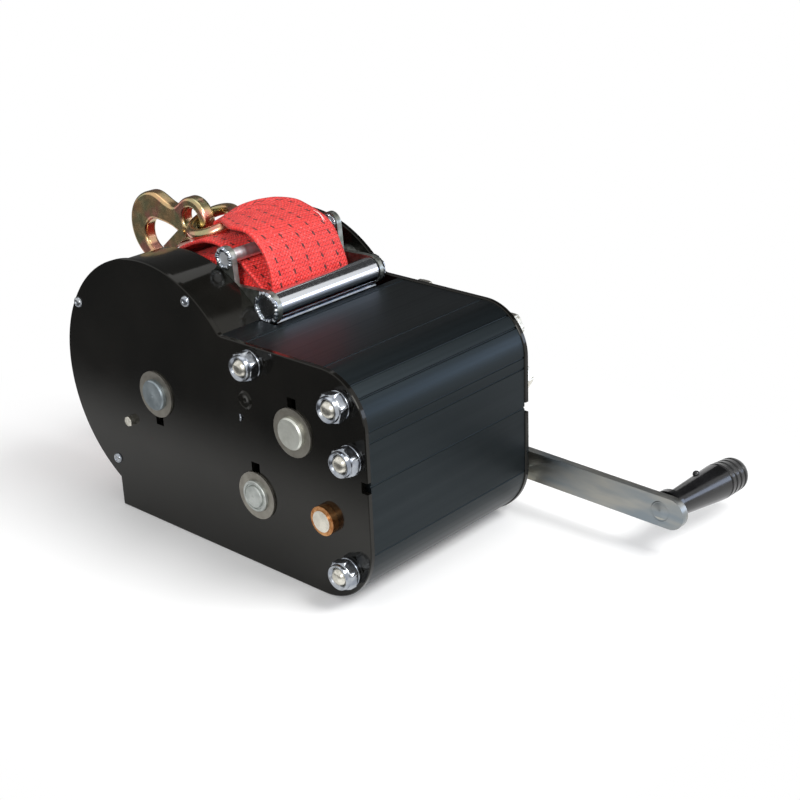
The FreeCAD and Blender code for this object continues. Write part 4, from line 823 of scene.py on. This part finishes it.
def loose_yarn(spots):
    """A round yarn along a smooth line through (length, x) spots of the strap.

    It bows off the cloth as the sine of its share of the way, and its radius is the root
    of that sine, so that it falls to nothing at both ends.
    """
    route = smooth_line(spots, 24)[0]
    row = np.interp(route[:, 0], length, np.arange(len(length)))
    column = (route[:, 1] - STRAP_LOW) / STRAP_WIDTH * (ACROSS - 1)
    up, side = row.astype(int), column.astype(int)
    more_up, more_side = (row - up)[:, None], (column - side)[:, None]
    middle = ((1 - more_up) * ((1 - more_side) * strap_grid[up, side]
                               + more_side * strap_grid[up, side + 1])
              + more_up * ((1 - more_side) * strap_grid[up + 1, side]
                           + more_side * strap_grid[up + 1, side + 1]))
    outward = np.stack([0 * row, -inward[up, 0], -inward[up, 1]], -1)
    bow = np.sin(np.linspace(0, math.pi, len(row)))[:, None]
    middle = middle + outward * (1.5 + 0.8 * bow) * MM
    angle = np.linspace(0, 2 * math.pi, 8, endpoint=False)
    ring = (np.cos(angle)[None, :, None] * outward[:, None, :]
            + np.sin(angle)[None, :, None] * np.array([1.0, 0, 0]))
    radius = YARN_RADIUS * MM * np.sqrt(np.clip(bow, 0, 1))
    around = middle[:, None, :] + ring * radius[:, :, None]
    return around.reshape(-1, 3), grid_faces(len(row), len(angle))


def white_yarn():
    """White polyester with a pink cast where the red cloth shines through."""
    material, tree, shader = finish("loose_white_yarn", "ecd6d4", 0.7)
    tree.links.new(clouds(tree, place_of(tree), 4, "dfa3a2", "f0dcda"),
                   shader.inputs["Base Color"])
    return material


YARNS = [[(92, 49), (86.5, 47), (78, 44)], [(94, 47.5), (88, 46.5), (82, 47.2)],
         [(90, 48.8), (84, 45.8), (79, 46.5)]]
yarns = closed_ends(joined(*[loose_yarn(spots) for spots in YARNS]), "loose_yarn_ends")
wear(yarns, white_yarn())
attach(yarns, "frame")


# A slack stretch of the last turn stands off the coil at the top, under the
# ring. It stays with the free end, so that the coil turns below it.
SLACK_FROM, SLACK_TO, SLACK_TOP, SLACK_SPREAD = 128, 30, 93, 20
SLACK_RADIUS, SLACK_RISE = 90.4, 8.2


def slack_turn():
    """The middle surface of the slack stretch, and each row's length along the strap.

    Point = drum axis + R (cos a, sin a), with R = radius + (rise + wave) e^-((a - top) /
    spread)^2. The wave is 0.5 sin(2.2 pi c + a / 14), where c is the share across.
    """
    angle = np.linspace(SLACK_FROM, SLACK_TO, 90)
    lifted = np.exp(-((angle - SLACK_TOP) / SLACK_SPREAD) ** 2)
    radius = SLACK_RADIUS + SLACK_RISE * lifted
    wave = 0.5 * np.sin(2.2 * math.pi * SHARES + angle[:, None] / 14)
    reach = radius[:, None] + wave * lifted[:, None]
    turn = np.radians(angle)
    x = (STRAP_LOW + STRAP_HIGH) / 2 + STRAP_WIDTH / 2 * SHARES + 0 * reach
    y = DRUM[0] + reach * np.cos(turn)[:, None]
    z = DRUM[1] + reach * np.sin(turn)[:, None]
    run = np.r_[0, np.cumsum(radius[1:] * np.abs(np.diff(turn)))]
    return np.stack([x, y, z], -1) * MM, run


slack_grid, slack_run = slack_turn()
slack = cloth_piece("strap_slack_turn", slack_grid, slack_run, 2.4)


# The coil: the rest of the strap is wound on the drum in 20 turns, a spiral
# whose section is a thin box. Its turns wander a little from side to side.
TURNS, PITCH, FIRST_ANGLE, COIL_RADIUS = 20, 2.85, 157.0, 87.6
HALF_THICK = 1.2


def coil_band():
    """Points of the wound strap, and the place across and along the strap of each.

    Point = (low edge + wander + width w, drum axis + (R + t) (cos a, sin a)), where R falls
    by the pitch with each turn of a, and (t, w) goes round a thin box section.
    """
    wound = np.linspace(0, 360 * TURNS, 64 * TURNS)
    radius = COIL_RADIUS - PITCH * wound / 360
    turn = np.radians(FIRST_ANGLE + wound)
    wander = 0.5 * np.sin(0.37 * np.radians(wound)) + 0.35 * np.sin(1.3 * np.radians(wound))
    part = np.linspace(0, 1, 5)
    across = np.r_[part, part[::-1]]
    thick = np.repeat([-HALF_THICK, HALF_THICK], len(part))
    reach = radius[:, None] + thick
    x = STRAP_LOW + wander[:, None] + STRAP_WIDTH * across
    y = DRUM[0] + reach * np.cos(turn)[:, None]
    z = DRUM[1] + reach * np.sin(turn)[:, None]
    run = np.r_[0, np.cumsum(radius[1:] * np.diff(turn))]
    return (np.stack([x, y, z], -1) * MM, np.tile(across * STRAP_WIDTH, len(wound)),
            np.repeat(run, len(across)))


coil_grid, coil_across, coil_along = coil_band()
coil = mesh_piece("strap_wound_on_drum", coil_grid.reshape(-1, 3),
                  grid_faces(*coil_grid.shape[:2]))
coil.data.set_sharp_from_angle(angle=math.radians(40))
cloth_uv(coil, coil_across, coil_along)
wear(coil, webbing)
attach(coil, "drum")
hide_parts("wound_strap")


# Drum: a steel tube, zinc plated, that turns with its shaft and carries the
# coil. Little of it shows beside the strap.
def drum_metal():
    """Grey zinc plated tube, a little scuffed by the strap."""
    material, tree, shader = finish("zinc_plated_drum", "8c8e90", 0.35, 1.0)
    where = place_of(tree)
    tree.links.new(clouds(tree, where, 12, "77797c", "9c9ea0"), shader.inputs["Base Color"])
    tree.links.new(uneven(tree, where, 5, 0.28, 0.45), shader.inputs["Roughness"])
    return material


wear(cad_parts["drum_core"], drum_metal())


# Snap hook, latch, its pin and the ring: forged and pressed steel with yellow
# passivated zinc, which shifts between olive, bronze and pink.
def yellow_zinc():
    """Olive bronze metal that clouds into pink and green, with a forged, lightly pitted skin."""
    material, tree, shader = finish("yellow_passivated_forging", "a08c68", 0.24, 1.0)
    where = place_of(tree)
    ground = clouds(tree, where, 11, "a7a07a", "d0ac7f", 0.38, 0.62)
    blush = node(tree, "TexNoise", {"Vector": place_of(tree, shift=(0.2, 0.1, 0.3)),
                                    "Scale": 1000 / 15, "Detail": 2})
    share = node(tree, "MapRange", {"Value": blush.outputs[0], "From Min": 0.52,
                                    "From Max": 0.66})
    mixed = node(tree, "Mix", {0: share.outputs[0], 6: ground, 7: linear("d29282")},
                 data_type="RGBA")
    tree.links.new(mixed.outputs[2], shader.inputs["Base Color"])
    tree.links.new(uneven(tree, where, 6, 0.18, 0.3), shader.inputs["Roughness"])
    skin = node(tree, "TexNoise", {"Vector": where, "Scale": 1000 / 2.5, "Detail": 3})
    relief(tree, shader, skin.outputs[0], 0.06, 0.5)
    return material


passivated = yellow_zinc()
for forged in ("snap_hook", "hook_latch", "latch_pin", "strap_ring"):
    wear(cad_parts[forged], passivated)


# Crank arm: flat bar with a round end, dull zinc plated after it was cut, with
# the pin of the grip riveted flush in it.
def dull_zinc():
    """Grey plate with long soft streaks and a faint straw tint."""
    material, tree, shader = finish("dull_zinc_plate", "8a8b87", 0.34, 1.0)
    where = place_of(tree)
    streaks = place_of(tree, stretch=(1, 0.25, 1))
    tree.links.new(clouds(tree, streaks, 14, "7d858a", "9b9a94"), shader.inputs["Base Color"])
    tree.links.new(uneven(tree, streaks, 5, 0.28, 0.42), shader.inputs["Roughness"])
    speck = node(tree, "TexNoise", {"Vector": where, "Scale": 1000 / 0.8, "Detail": 2})
    relief(tree, shader, speck.outputs[0], 0.012, 0.5)
    return material


arm_plate = dull_zinc()
wear(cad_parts["crank_arm"], arm_plate)
ARM_FACE = span_of("crank_arm")[0][0]
PIN_SPOT = (-254.7, 34.4)
RIVET = [(0.4, 0.0), (0.7, 0.8), (0.4, 1.5), (0.4, 6.1), (0.2, 6.6), (0.35, 7.1), (0.0, 7.8)]
rivet = closed_ends(turned([(ARM_FACE - height, radius) for height, radius in RIVET], PIN_SPOT),
                    "rivet_of_grip_pin")
wear(rivet, arm_plate)
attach(rivet, "crank")


# Grip: one injection-moulded black plastic sleeve that turns on its pin, with
# a collar, ring grooves near its end and a small knob on its neck.
def moulded_plastic():
    """Glossy black plastic with a fine moulding grain that softens the highlight."""
    material, tree, shader = finish("moulded_black_plastic", "0c0c0d", 0.22)
    where = place_of(tree)
    tree.links.new(uneven(tree, where, 9, 0.12, 0.22), shader.inputs["Roughness"])
    tree.links.new(clouds(tree, where, 20, "0a0a0b", "131314"), shader.inputs["Base Color"])
    grain = node(tree, "TexNoise", {"Vector": where, "Scale": 1000 / 1.2, "Detail": 2})
    relief(tree, shader, grain.outputs[0], 0.02, 0.4)
    return material


wear(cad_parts["handle_grip"], moulded_plastic())
